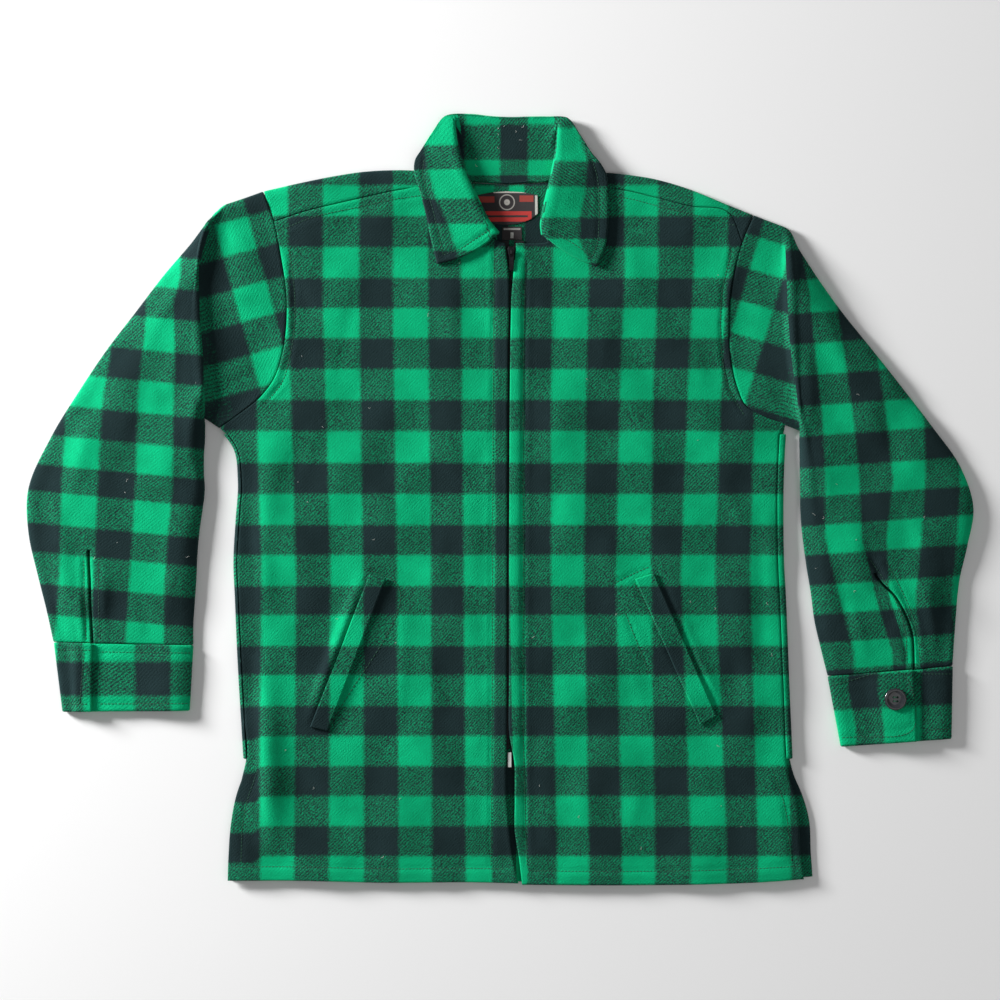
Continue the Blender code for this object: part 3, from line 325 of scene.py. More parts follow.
# Check of the wool. A stripe is green from an even number to the next and black from an odd one.
# Columns of each table: y of a line, then x of the stripes' sides on it, from the first number on.
LEFT_FRONT_FROM = 0
LEFT_FRONT_STRIPES = (
    (300, 253, 288, 323, 359, 393, 428, 461, 494),
    (570, 262, 296, 330.6, 363, 397, 431, 464, 495),
    (850, 260, 294, 329, 364, 399, 432, 466, 492),
)
RIGHT_FRONT_FROM = -2
RIGHT_FRONT_STRIPES = (
    (270, 509, 524, 553, 589, 625, 658, 694, 728, 762, 796),
    (390, 509, 524, 551, 586, 620, 653, 688, 721, 755, 789),
    (570, 509, 524, 551, 584, 616, 651, 681, 715, 750, 784),
    (850, 515, 527, 557, 589, 622, 655, 691, 727, 758, 791),
)
LEFT_SLEEVE_FROM = -1
LEFT_SLEEVE_STRIPES = (
    (279, 43, 78, 113, 148, 181, 214, 247),
    (303, 43, 77, 112, 147, 174, 200, 235),
    (330, 42, 77, 112, 146, 175, 202, 236),
    (360, 38, 74, 110, 142, 176, 204, 238),
    (400, 32, 67, 103, 138, 174, 204, 238),
    (485, 28, 62, 98, 136, 173, 205, 238),
    (578, 26, 60, 94, 130, 165, 198, 232),
    (634, 20, 55, 90, 126, 164, 196, 230),
)
RIGHT_SLEEVE_FROM = -1
RIGHT_SLEEVE_STRIPES = (
    (260, 770, 803, 829, 858, 890, 922, 954),
    (295, 778, 809, 834, 864, 895, 925, 955),
    (357, 788, 815, 844, 877, 908, 940, 970),
    (419, 790, 822, 853, 886, 924, 957, 990),
    (480, 791, 825, 859, 893, 925, 960, 993),
    (538, 793, 825, 861, 886, 921, 957, 990),
    (597, 803, 839, 876, 889, 915, 952, 985),
    (652, 818, 854, 893, 906, 920, 955, 985),
)
LEFT_CUFF_FROM = -1
LEFT_CUFF_STRIPES = ((680, 57, 83, 135, 171, 205),)
RIGHT_CUFF_FROM = 0
RIGHT_CUFF_STRIPES = ((690, 812, 848, 878, 921, 955), (728, 820, 856, 884, 921, 955))
LEFT_LEAF_FROM = -1
LEFT_LEAF_STRIPES = (
    (115, 380, 412, 458), (145, 392, 424, 470), (170, 396, 428, 473), (200, 404, 436, 482),
    (224, 414, 448, 496), (256, 426, 458, 506),
)
RIGHT_LEAF_FROM = -1
RIGHT_LEAF_STRIPES = (
    (130, 610, 577, 543), (162, 620, 587, 540), (190, 618, 585, 538), (216, 614, 580, 534),
    (240, 612, 579, 532), (265, 622, 590, 536),
)
INSIDE_FROM = 0
INSIDE_STRIPES = ((150, 465, 500, 528, 562),)

# Rows of the check: first number, x where they are counted, drop per step to the right, then y.
BODY_ROWS = (-3, 500, 0.0, (
    154, 185, 216, 247, 278, 308, 338, 369, 400, 431, 463, 494, 525, 555, 586, 615, 646, 675, 706,
    736, 766, 796, 826, 856, 885,
))
LEFT_SLEEVE_ROWS = (-4, 155, 0.093, (
    194, 225, 256, 287, 318, 351, 382, 414, 445, 475, 502, 534, 563, 594, 624, 655,
))
RIGHT_SLEEVE_ROWS = (-2, 838, -0.07, (
    216, 247, 278, 311, 342, 373, 404, 434, 466, 495, 524, 553, 584, 613, 642, 669, 700,
))
LEFT_CUFF_ROWS = (0, 120, 0.0, (628, 661.5, 696, 730))
RIGHT_CUFF_ROWS = (0, 863, -0.05, (637, 673, 709, 745))
LEFT_LEAF_ROWS = (0, 440, 0.0, (113, 146, 170, 199, 224, 251, 276))
RIGHT_LEAF_ROWS = (0, 570, 0.0, (128, 162, 187, 218, 239, 264))
# The green row inside the collar ends early, at 175, so the black row below it is painted shade at the foot
# of the collar's inside.
INSIDE_ROWS_AND_SHADE = (0, 510, 0.0, (92, 124, 160, 175))
# Edge of the collar's roll on each side: y, then x.
LEFT_ROLL = ((113, 146, 175, 200, 225, 245), (457, 464, 472, 478, 486, 493))
RIGHT_ROLL = ((122, 160, 185, 210, 230), (555, 555, 550, 545, 540))
# Cap of each sleeve: middle of one green square, a step to the next stripe, a step to the next row.
LEFT_CAP = ((253.5, 301.5), (33.0, -9.0), (9.0, 32.4))
RIGHT_CAP = ((752.0, 321.0), (33.0, 9.5), (-9.5, 31.5))

# Small creases that the pressed wool keeps. Columns as for the soft folds of the fronts.
FRONT_CREASES = (
    (365, 570, 307, 728, 2.0, 6, 2.6), (656, 572, 719, 716, -1.0, 2.5, 4),
    (661, 572, 724, 716, 0.9, 3, 8),
    (264, 636, 270, 862, 2.3, 8, 13), (448, 246, 456, 420, 0.8, 16, 12),
    (252, 430, 250, 720, -0.9, 9, 8), (268, 440, 266, 640, 0.8, 8, 10),
    (760, 470, 764, 700, -0.6, 9, 8),
    (300, 262, 330, 330, 0.7, 9, 12), (352, 300, 338, 392, -0.6, 8, 8),
    (410, 286, 430, 350, 0.5, 10, 9),
    (318, 420, 296, 500, 0.6, 9, 8), (380, 430, 398, 520, -0.5, 9, 11),
    (446, 500, 436, 590, 0.5, 8, 10),
    (255, 520, 268, 600, 0.7, 7, 9), (300, 748, 330, 800, 0.6, 10, 8),
    (352, 770, 340, 858, -0.5, 9, 9),
    (425, 640, 440, 720, 0.5, 9, 8), (470, 700, 462, 800, -0.5, 8, 9),
    (246, 780, 262, 850, 0.7, 6, 8),
    (545, 270, 560, 350, -0.5, 8, 9), (612, 300, 598, 380, 0.6, 9, 10),
    (668, 270, 690, 330, 0.6, 9, 9),
    (700, 330, 716, 392, -0.6, 8, 8), (640, 420, 660, 500, 0.6, 10, 9),
    (560, 470, 548, 560, -0.5, 9, 8),
    (600, 520, 618, 590, 0.5, 9, 9), (716, 470, 748, 540, 0.7, 8, 8),
    (768, 500, 772, 620, 0.6, 8, 6),
    (560, 640, 572, 730, 0.5, 9, 10), (730, 640, 742, 720, -0.6, 8, 8),
    (640, 770, 628, 850, 0.6, 9, 9),
    (742, 790, 760, 860, 0.6, 9, 8), (690, 800, 706, 862, -0.5, 7, 8),
    (545, 790, 556, 860, 0.5, 8, 8),
)
SLEEVE_CREASES = (
    (862, 536, 886, 596, -1.0, 9, 8), (878, 556, 912, 644, 1.2, 4, 11),
    (98, 545, 100, 640, 0.9, 4, 8),
    (90, 420, 70, 500, 0.8, 8, 9), (150, 380, 130, 450, -0.7, 8, 8),
    (180, 330, 168, 400, 0.7, 8, 7),
    (52, 500, 70, 560, 0.9, 7, 7), (110, 560, 100, 628, 0.8, 7, 6),
    (140, 590, 150, 640, -0.6, 6, 7),
    (76, 590, 84, 640, 0.8, 5, 5), (172, 560, 166, 636, 0.7, 6, 7), (120, 470, 150, 500, 0.6, 8, 7),
    (226, 230, 250, 246, 0.5, 6, 6), (216, 300, 256, 296, 0.6, 7, 7),
    (210, 380, 250, 366, 0.6, 7, 6),
    (820, 300, 850, 380, 0.8, 8, 9), (880, 400, 900, 470, -0.7, 8, 8),
    (820, 440, 830, 520, 0.7, 8, 7),
    (905, 500, 930, 560, 0.9, 8, 8), (850, 600, 868, 660, 0.9, 6, 7),
    (925, 580, 936, 650, 0.9, 6, 6),
    (838, 560, 850, 640, -0.6, 6, 6), (806, 340, 812, 430, 0.6, 6, 6),
    (892, 620, 900, 664, 0.7, 5, 6),
    (742, 300, 776, 316, 0.6, 7, 7), (738, 380, 776, 396, 0.7, 6, 7),
    (764, 236, 786, 250, 0.5, 6, 6),
)
BACK_CREASES = (
    (300, 300, 330, 520, 0.9, 22, 18), (420, 240, 410, 420, -0.8, 16, 18),
    (600, 260, 620, 480, 0.9, 18, 20),
    (700, 420, 680, 640, -0.8, 18, 16), (480, 560, 500, 760, 0.8, 20, 18),
    (340, 640, 330, 820, 0.9, 18, 16),
    (620, 660, 650, 840, 0.8, 16, 18), (760, 560, 764, 760, 0.7, 12, 14),
)

# Lines of sewing, from point to point: depth of the trough in mm, then the points of the layout.
FRONT_SEWING = (
    (0.9, ((494.5, 246), (494, 300), (493, 420), (492.5, 570), (492, 740), (491, 866))),
    (0.9, ((526, 262), (525, 290), (524, 340), (523.5, 570), (523.5, 740), (527, 866))),
    (0.7, ((230, 867), (302, 867), (383, 869), (465, 868.5), (504, 869))),
    (0.7, ((530, 871), (592, 871.5), (681, 871), (770, 868), (803, 866))),
    (0.6, ((276, 232), (311, 218), (358, 207), (392, 199.5), (424, 195))),
    (0.6, ((742, 227), (698, 216), (662, 207), (626, 198), (598, 195))),
    (0.8, ((371, 571), (387.5, 577), (329, 731))),
    (0.8, ((613, 584), (632, 574.5), (649, 567))),
    (0.7, ((625.5, 613), (636, 640), (650, 674))),
    (0.8, ((634, 583), (670, 655), (684, 688), (695, 711), (705.4, 724))),
    (0.7, ((289.5, 250), (294.5, 292), (294.5, 326), (290, 356), (281, 384), (264, 404))),
    (0.6, ((732, 250), (722.5, 290), (720.5, 326), (722, 354), (729, 388), (744, 415))),
    (0.6, ((258, 770), (247, 802), (243, 822), (241, 862))),
    (0.6, ((774, 772), (786, 812), (790, 845), (792, 862))),
)
SLEEVE_SEWING = (
    (0.7, ((99, 560), (99, 600), (100, 640))),
    (0.7, ((84, 560), (84.5, 600), (86, 640))),
    (0.7, ((870, 560), (880, 574), (905, 630), (907, 664))),
    (0.6, ((886, 562), (896, 580), (917, 632), (920, 662))),
)
CUFF_SEWING = (
    (0.6, ((56.5, 650), (91, 650))),
    (0.6, ((101, 652), (191, 653))),
    (0.6, ((62, 704), (88, 704))),
    (0.6, ((100, 704), (188, 703.5))),
    (0.6, ((84.5, 652), (80, 704))),
    (0.6, ((832, 685), (904, 675), (914, 727), (842, 738))),
    (0.6, ((924, 674), (952, 674))),
    (0.6, ((930, 730), (951, 729))),
)
LEAF_SEWING = (
    (0.6, ((424, 160), (423, 176), (428, 192), (434, 214), (440, 240), (443.5, 255))),
    (0.6, ((443.5, 255), (460, 249), (476, 239), (490, 230))),
    (0.6, ((592, 160), (597, 176), (599, 198), (599, 222), (596.5, 246), (592, 257))),
    (0.6, ((592, 257), (572, 243), (552, 233))),
)


def lay(x, y):
    """A layout point in mm from the origin."""
    return (x - GRID_X) * STEP, (GRID_Y - y) * STEP


def lengths(points):
    """Running length along a line of points, from 0 to 1."""
    pts = np.asarray(points, float)
    run = np.concatenate([[0.0], np.cumsum(np.linalg.norm(np.diff(pts, axis=0), axis=1))])
    return run / run[-1]


def along(points, shares):
    """Points of a smooth line at the given shares of its length."""
    pts = np.asarray(points, float)
    run = lengths(pts)
    ends = np.gradient(pts, run, axis=0)
    out = []
    for share in np.atleast_1d(shares):
        i = int(np.clip(np.searchsorted(run, share) - 1, 0, len(run) - 2))
        span = run[i + 1] - run[i]
        t = (share - run[i]) / span
        a = 2 * t ** 3 - 3 * t ** 2 + 1
        b = t ** 3 - 2 * t ** 2 + t
        c = -2 * t ** 3 + 3 * t ** 2
        d = t ** 3 - t ** 2
        out.append(a * pts[i] + b * span * ends[i] + c * pts[i + 1] + d * span * ends[i + 1])
    return np.array(out)


def at_height(points, ys):
    """Points of a line that runs towards the hem, at the given y."""
    pts = np.asarray(points, float)
    return np.stack([np.interp(ys, pts[:, 1], pts[:, 0]), ys], axis=1)


def patch(top, bottom, left, right):
    """Grid of plan points between four boundary lines, rows from top to bottom."""
    u = lengths(top)[None, :, None]
    v = lengths(left)[:, None, None]
    across = (1 - u) * left[:, None, :] + u * right[:, None, :]
    above = top[None, :, :] - ((1 - u) * top[0] + u * top[-1])
    below = bottom[None, :, :] - ((1 - u) * bottom[0] + u * bottom[-1])
    return across + (1 - v) ** 3 * above + v ** 3 * below


def beside(line, distance):
    """A line of layout points moved sideways by mm, to the right of its run as seen on the layout."""
    pts = np.asarray(line, float)
    way = np.gradient(pts, axis=0)
    way /= np.linalg.norm(way, axis=1, keepdims=True)
    return pts + np.stack([-way[:, 1], way[:, 0]], axis=1) * distance / STEP


def folds(x, y, table):
    """Height in mm that a table of soft folds gives a layout point."""
    total = np.zeros(np.broadcast(x, y).shape)
    for x0, y0, x1, y1, rise, left, right in table:
        run = math.hypot(x1 - x0, y1 - y0)
        ax = (x1 - x0) / run
        ay = (y1 - y0) / run
        t = ((x - x0) * ax + (y - y0) * ay) / run
        off = (x - x0) * ay - (y - y0) * ax
        reach = np.where(off < 0, left, right)
        fade = np.sin(np.pi * np.clip(t, 0.0, 1.0)) ** 0.8
        total = total + rise * fade * np.exp(-((off / reach) ** 2))
    return total


def zip_x(y):
    """Layout x of the zip's centre line."""
    line = np.asarray(ZIP_LINE, float)
    return np.interp(y, line[:, 0], line[:, 1])


def front_height(x, y):
    """Middle of the front panels above the table, mm."""
    away = np.abs(x - zip_x(y))
    over_zip = np.interp(away, (0, 3, 13, 24, 46), (2.7, 2.5, 1.9, 1.1, 0.0))
    over_zip = over_zip * np.interp(y, (770, 800), (1.0, 0.35))
    ahead = x - zip_x(y)
    strip = 1.1 * np.exp(-(((ahead - 7.0) / 4.2) ** 2)) * (ahead > 0) * np.interp(y, (255, 285), (0, 1))
    return UPPER + 0.1 + over_zip + strip + folds(x, y, FRONT_FOLDS)


def raised(plan, height):
    """Plan points of the layout with their heights in mm, as points in mm."""
    x, y = lay(plan[..., 0], plan[..., 1])
    return np.stack([x, y, np.broadcast_to(height, x.shape)], axis=-1)


def stepped(start, aim, distance):
    """Points at a distance in mm from start points towards aim points, in layout steps."""
    way = aim - start
    run = np.linalg.norm(way, axis=-1, keepdims=True)
    return start + way / run * distance / STEP


def turned(edge, aim, seam, inner_height, cells):
    """Rows of mm points from a turned edge over to its seam: quarter turns first, then the flat run."""
    rows = []
    for k in range(1, cells):
        angle = math.pi * k / cells
        inset = WALL / 2 + TURN * (1 - math.sin(angle))
        rows.append(raised(stepped(edge, aim, inset), LOWER + TURN * (1 - math.cos(angle))))
    start = stepped(edge, aim, WALL / 2 + TURN)
    stop = stepped(seam, start, SEAM)
    rows.append(raised(start, UPPER))
    middle = (start + stop) / 2
    rows.append(raised(middle, inner_height(middle[..., 0], middle[..., 1])))
    rows.append(raised(stop, inner_height(stop[..., 0], stop[..., 1])))
    return rows


def plain_front(x, y):
    """Middle of the upper layer at the shoulders and sides, mm."""
    return UPPER + 0.1 + folds(x, y, FRONT_FOLDS)


def shoulder_seam(seam, armhole):
    """Points of a forward shoulder seam, from the armhole to the neck."""
    start = along(armhole, ROUND_SHARES[1])
    return along(np.concatenate([start, seam[1:]]), np.linspace(0, 1, SHOULDER_CELLS + 1))


def side_line(side, slit, inset):
    """Rows of a side from below the underarm to the hem, moved in by steps above the slit."""
    upper = at_height(side, SIDE_ROWS) + (inset, 0)
    lower = along(slit, SLIT_ROWS)
    return np.concatenate([upper, lower])


def back_grid():
    """Back panel: one layer on the table, turned over at the shoulders and the sides."""
    shares = [ROUND_SHARES[i] for i in BACK_SHARES]
    arm_left = along(ARMHOLE_LEFT, shares)
    arm_right = along(ARMHOLE_RIGHT, shares)
    arms = len(shares)
    left = np.concatenate([arm_left, side_line(SIDE_LEFT, SLIT_LEFT_BACK, 0)])
    right = np.concatenate([arm_right, side_line(SIDE_RIGHT, SLIT_RIGHT_BACK, 0)])
    count = SHOULDER_CELLS + 1
    run = np.linspace(0, 1, count)
    left_top = along(SHOULDER_LEFT, run)
    right_top = along(SHOULDER_RIGHT, run)[::-1]
    left_seam = shoulder_seam(SEAM_LEFT, ARMHOLE_LEFT)
    right_seam = shoulder_seam(SEAM_RIGHT, ARMHOLE_RIGHT)[::-1]
    first, last = COLLAR_BACK
    neck = beside([row[0:2] for row in COLLAR[first:last + 1]], 2 * SEAM)
    inset = WALL / 2 + TURN
    lower_left = stepped(left_top, left_seam, inset)
    lower_right = stepped(right_top, right_seam, inset)
    top = np.concatenate([lower_left, neck, lower_right])
    hem = along(HEM_BACK, lengths(top))
    rows = len(left)
    turned_side = np.zeros(rows, bool)
    turned_side[arms:arms + len(SIDE_ROWS)] = True
    left_edge = left.copy()
    right_edge = right.copy()
    left_edge[:arms] = beside(arm_left, -SEAM)
    right_edge[:arms] = beside(arm_right, SEAM)
    left_edge[arms - 1] += UNDERARM_IN
    right_edge[arms - 1] += UNDERARM_IN * (-1, 1)
    left_edge[turned_side, 0] += inset / STEP
    right_edge[turned_side, 0] -= inset / STEP
    top[0] += (2 * SEAM / STEP, 0)
    top[-1] -= (2 * SEAM / STEP, 0)
    left_edge[0] = top[0]
    right_edge[0] = top[-1]
    hem[0] = left_edge[-1]
    hem[-1] = right_edge[-1]
    flat = raised(patch(top, hem, left_edge, right_edge), LOWER)

    over_left = turned(left_top, left_seam, left_seam, plain_front, 4)
    over_right = turned(right_top, right_seam, right_seam, plain_front, 4)
    side_left = turned(left, left + (50, 0), left + (SEAM_INSET_LEFT, 0), plain_front, 4)
    side_right = turned(right, right - (50, 0), right - (SEAM_INSET_RIGHT, 0), plain_front, 4)
    deep = len(over_left)
    cols = flat.shape[1]
    grid = np.zeros((rows + deep, cols + 2 * deep, 3))
    grid[deep:, deep:deep + cols] = flat
    for k in range(deep):
        row = deep - 1 - k
        grid[row, deep:deep + count] = over_left[k]
        grid[row, deep + cols - count:deep + cols] = over_right[k]
        grid[row, deep, 0] += 2 * SEAM
        grid[row, deep + cols - 1, 0] -= 2 * SEAM
        grid[deep:, row] = side_left[k]
        grid[deep:, deep + cols + k] = side_right[k]
    beside_rows = np.concatenate([np.zeros(deep, bool), turned_side])

    def is_cell(r, c):
        inside = deep <= c < deep + cols - 1
        if r < deep:
            return inside and (c < deep + count - 1 or c >= deep + cols - count)
        return inside or (beside_rows[r] and beside_rows[r + 1])

    return grid, is_cell


def front_plan(top, hem, left, right):
    """One front panel between its shoulder seam and neckline, its hem, its side and its front edge."""
    top = np.array(top)
    hem = along(hem, lengths(top))
    for line, near, far in ((left, 0, 0), (right, -1, -1)):
        top[near] = line[0]
        hem[far] = line[-1]
    return patch(top, hem, left, right)


def front_plans():
    """Both front panels, each a seam's gap inside the lines that it shares with its neighbours."""
    first, last = COLLAR_BACK
    shares = ROUND_SHARES[1:]
    arm = beside(along(ARMHOLE_LEFT, shares), -SEAM)
    arm[0] += (0, 2 * SEAM)
    arm[-1] += UNDERARM_IN
    side = side_line(SIDE_LEFT, SLIT_LEFT_FRONT, SEAM_INSET_LEFT)
    side[:len(SIDE_ROWS), 0] += SEAM / STEP
    left = np.concatenate([arm, side])
    shoulder = beside(shoulder_seam(SEAM_LEFT, ARMHOLE_LEFT), 1.5 * SEAM)
    neck = beside([row[0:2] for row in COLLAR[:first]], -2 * SEAM)[::-1]
    top = np.concatenate([shoulder, neck[1:], [EDGE_LEFT[0]]])
    ys = EDGE_LEFT[0][1] + lengths(left) * (EDGE_LEFT[-1][1] - EDGE_LEFT[0][1])
    left_plan = front_plan(top, HEM_LEFT, left, at_height(EDGE_LEFT, ys))

    arm = beside(along(ARMHOLE_RIGHT, shares), SEAM)
    arm[0] += (0, 2 * SEAM)
    arm[-1] += UNDERARM_IN * (-1, 1)
    side = side_line(SIDE_RIGHT, SLIT_RIGHT_FRONT, -SEAM_INSET_RIGHT)
    side[:len(SIDE_ROWS), 0] -= SEAM / STEP
    right = np.concatenate([arm, side])
    shoulder = beside(shoulder_seam(SEAM_RIGHT, ARMHOLE_RIGHT), -1.5 * SEAM)[::-1]
    neck = beside([row[0:2] for row in COLLAR[last + 1:]], -2 * SEAM)[::-1]
    top = np.concatenate([[EDGE_RIGHT[0]], CORNER_RIGHT, neck[:-1], shoulder])
    ys = EDGE_RIGHT[0][1] + lengths(right) * (EDGE_RIGHT[-1][1] - EDGE_RIGHT[0][1])
    right_plan = front_plan(top, HEM_RIGHT, at_height(EDGE_RIGHT, ys), right)
    return (("front_left", left_plan), ("front_right", right_plan))


def sleeve_grid(armhole, ridge, sections, fold_table, side):
    """A sleeve: one flattened tube through guide rings and sections, open at both ends."""
    rings = [(share, rise, None) for share, rise in CAP_RINGS]
    rings += [(None, row[5], row) for row in sections]
    base = np.array(ROUND_SHARES)
    grid = []
    for i, (share, rise, row) in enumerate(rings):
        slit = 0.5 if row is None else row[6]
        half = np.interp(i, (len(CAP_RINGS), len(CAP_RINGS) + SLIT_FROM), (0.04, SLIT_HALF))
        ts = np.interp(base, (0, 0.46, 0.54, 1), (0, slit - half, slit + half, 1))
        if row is None:
            plan = (1 - share) * along(armhole, ts) + share * along(ridge, ts)
            if share == 0.0:
                plan = beside(plan, side * SEAM)
        else:
            outer = np.array(row[0:2], float)
            under = np.array(row[2:4], float)
            plan = outer + ts[:, None] * (under - outer)
            plan[:, 0] += side * row[4] * 4 * ts * (1 - ts)
        inset = (WALL / 2 + TURN) / STEP
        outer_way = plan[1] - plan[0]
        outer_way = outer_way / np.linalg.norm(outer_way)
        under_way = plan[-2] - plan[-1]
        under_way = under_way / np.linalg.norm(under_way)
        body = plan.copy()
        body[0] = plan[0] + outer_way * inset
        body[-1] = plan[-1] + under_way * inset
        shape = np.minimum(np.clip(ts / 0.22, 0, 1), np.clip((1 - ts) / 0.10, 0, 1))
        shape = shape * shape * (3 - 2 * shape)
        height = UPPER + rise * shape + shape * folds(body[:, 0], body[:, 1], fold_table)
        points = list(raised(body, height))
        turns = []
        for end, way in ((plan[-1], under_way), (plan[0], outer_way)):
            for k in (1, 2, 3):
                angle = math.pi * k / 4
                reach = (WALL / 2 + TURN * (1 - math.sin(angle))) / STEP
                turns.append(raised(end + way * reach, LOWER + TURN * (1 + math.cos(angle))))
        points += [*turns[:3], *(raised(body[j], LOWER) for j in reversed(BACK_SHARES)), *turns[:2:-1]]
        grid.append(points)
    grid = np.array(grid)
    if side > 0:
        grid = grid[:, ::-1]
    slit_cell = 4 if side < 0 else grid.shape[1] - 6
    first_open = len(CAP_RINGS) + SLIT_FROM

    def is_cell(r, c):
        return not (r >= first_open and c == slit_cell)

    return grid, is_cell


def cuff_grid(corners, lap):
    """A cuff: a band wrapped round the wrist, its end on top lapped over the end below."""
    tl, tr, bl, br = np.array(corners, float).reshape(4, 2)
    low, mid, high = CUFF_LEVELS
    radius = (mid - low) / 2
    inset = CUFF_WALL / 2 + radius
    rows = []
    for v in np.linspace(0, 1, 4):
        left = tl + v * (bl - tl)
        right = tr + v * (br - tr)
        width = np.linalg.norm(right - left) * STEP
        way = (right - left) / np.linalg.norm(right - left)
        near = inset / width
        start = lap[0] + v * lap[1]
        stop = lap[2] + v * lap[3]
        path = [(start, mid), ((start + near) / 2, mid), (near, mid)]
        for k in (1, 2, 3):
            angle = math.pi * k / 4
            bulge = radius * math.sin(angle) / width
            path.append((near - bulge, low + radius * (1 + math.cos(angle))))
        for share in (near, 0.25, 0.5, 0.75, 1 - near):
            path.append((share, low))
        for k in (3, 2, 1):
            angle = math.pi * k / 4
            bulge = radius * math.sin(angle) / width
            path.append((1 - near + bulge, low + radius * (1 + math.cos(angle))))
        path.append((1 - near, mid))
        room = 1 - near - start
        climb = start + 0.2 * room
        path.append((start + 0.75 * room, mid + 0.2))
        path.append((start + 0.45 * room, mid + 0.9))
        path.append((climb, high - 0.4))
        path.append(((climb + stop) / 2, high + 0.1))
        path.append((stop, high))
        points = []
        for share, level in path:
            points.append(raised(left + (1 - share) * way * width / STEP, level))
        rows.append(points)
    return np.array(rows)


def collar_sections():
    """Points in mm of each section of the collar, from the neck seam over the roll to the edge."""
    first, last = COLLAR_OPEN
    half = COLLAR_WALL / 2
    out = []
    for i, row in enumerate(COLLAR):
        neck = np.array(lay(row[0], row[1]))
        roll = np.array(lay(row[3], row[4]))
        edge = np.array(lay(row[6], row[7]))
        neck_z, roll_z, edge_z, bow = row[2], row[5], row[8], row[9]
        points = []
        if first <= i <= last:
            count = STAND_CELLS + ROLL_CELLS + LEAF_CELLS
            for k in range(count + 1):
                t = k / count
                plan = neck + t * (edge - neck)
                points.append((*plan, neck_z + (edge_z - neck_z) * t ** 3))
        else:
            outward = roll - (neck + edge) / 2
            outward /= np.linalg.norm(outward)
            low_z = neck_z + min(1.2, 0.25 * (roll_z - neck_z - 2 * half))
            radius = (roll_z - low_z) / 2
            reach = min(radius, 3.4)
            centre = roll - outward * (half + reach)
            for k in range(STAND_CELLS):
                t = k / STAND_CELLS
                plan = neck + t * (centre - neck)
                points.append((*plan, neck_z + (low_z - neck_z) * t))
            for k in range(ROLL_CELLS + 1):
                angle = math.pi * k / ROLL_CELLS
                plan = centre + outward * reach * math.sin(angle)
                points.append((*plan, low_z + radius * (1 - math.cos(angle))))
            across = np.array((-(edge - centre)[1], (edge - centre)[0]))
            across /= max(np.linalg.norm(across), 1e-9)
            for k in range(1, LEAF_CELLS + 1):
                t = k / LEAF_CELLS
                plan = centre + t * (edge - centre) + across * bow * STEP * 4 * t * (1 - t)
                drop = t * t * (3 - 2 * t)
                points.append((*plan, roll_z + (edge_z - roll_z) * drop))
        out.append(points)
    return np.array(out)


def welt_grid(corners):
    """Pocket welt: a folded strip on the front panel's own points, moved out."""
    a0, a1, b0, b1 = np.array(corners, float).reshape(4, 2)
    v = np.linspace(0, 1, WELT_CELLS + 1)[:, None, None]
    u = np.linspace(0, 1, 4)[None, :, None]
    open_side = a0 + v * (a1 - a0)
    sewn_side = b0 + v * (b1 - b0)
    plan = open_side + u * (sewn_side - open_side)
    lift = WALL / 2 + GAP + 0.15 + WELT_WALL / 2
    height = front_height(plan[..., 0], plan[..., 1]) + lift
    return raised(plan, height)


# Rounding of a cut edge: height as a share of the wall, way inwards as a share of the wall.
RIM_LEVELS = ((0.5, 0.36), (0.32, 0.10), (0.0, 0.0), (-0.32, 0.10), (-0.5, 0.36))
TROUGH_HALF = 1.7  # steps from a line of sewing to where its trough has nearly gone
TROUGH_REACH = 11  # steps past which sewing leaves the cloth alone
FRONT_CREASE_RISE = 1.7  # times the rise in the tables of creases
SLEEVE_CREASE_RISE = 1.6
UNDER_CREASE_RISE = 0.5
DEEPEST_FRONT = -1.0  # mm by which creases may lower a piece
DEEPEST_UPPER = -0.9
DEEPEST_SMALL = -0.8
DRAPE_RISE = 1.3  # mm of broad unevenness on each side of its middle
ZIP_MIDDLE = 511  # layout x
HEM_DOUBLE = 0.8  # mm by which the turned-up hem is thicker
HEM_FOLD = (-15.5, -12.5)  # steps from the hem's edge over which it gets thicker
HEM_DROP = 7  # steps by which the rows sink at the left side, and where: x from, to, y from, to
HEM_DROP_AT = (264, 252, 690, 780)
CAP_BLACK_AND_PAINTED_SHADE = 1.45  # stripes from a cap's middle past which its check stays on a black stripe; beside the left sleeve's ridge that black is painted shade
RAY_HEIGHT = 0.1  # m over the table from where a surface is looked for
STEEPEST = 1.5  # mm between the ends of a stitch past which there is none


def smooth(value, low, high):
    """Rises softly from 0 to 1 between low and high."""
    t = np.clip((value - low) / (high - low), 0.0, 1.0)
    return t * t * (3 - 2 * t)


def finer(points, live, step, wrap=False):
    """Rows filled in between the rows of a grid along smooth lines, and the old row of each."""
    diff = np.diff(points, axis=0)
    run = np.maximum(np.linalg.norm(diff, axis=2), 1e-6)
    slope = diff / run[..., None]
    weight = live / run
    if wrap:
        before, after = np.concatenate([weight[-1:], weight]), np.concatenate([weight, weight[:1]])
        back, ahead = np.concatenate([slope[-1:], slope]), np.concatenate([slope, slope[:1]])
    else:
        none = np.zeros_like(weight[:1])
        before, after = np.concatenate([none, weight]), np.concatenate([weight, none])
        back, ahead = np.concatenate([slope[:1], slope]), np.concatenate([slope, slope[-1:]])
    total = np.maximum(before + after, 1e-12)[..., None]
    ends = (before[..., None] * back + after[..., None] * ahead) / total
    rows = []
    old = []
    for i in range(len(run)):
        lengths_here = run[i][live[i] > 0]
        longest = np.percentile(lengths_here, 80) if len(lengths_here) else 0.0
        count = max(2 if longest < 1.6 else 1, int(round(longest / step)))
        t = (np.arange(count) / count)[:, None, None]
        h = run[i][None, :, None]
        rows.append(
            (2 * t ** 3 - 3 * t ** 2 + 1) * points[i] + (t ** 3 - 2 * t ** 2 + t) * h * ends[i]
            + (3 * t ** 2 - 2 * t ** 3) * points[i + 1] + (t ** 3 - t ** 2) * h * ends[i + 1]
        )
        old += [i] * count
    rows.append(points[-1:])
    return np.concatenate(rows), np.array(old)


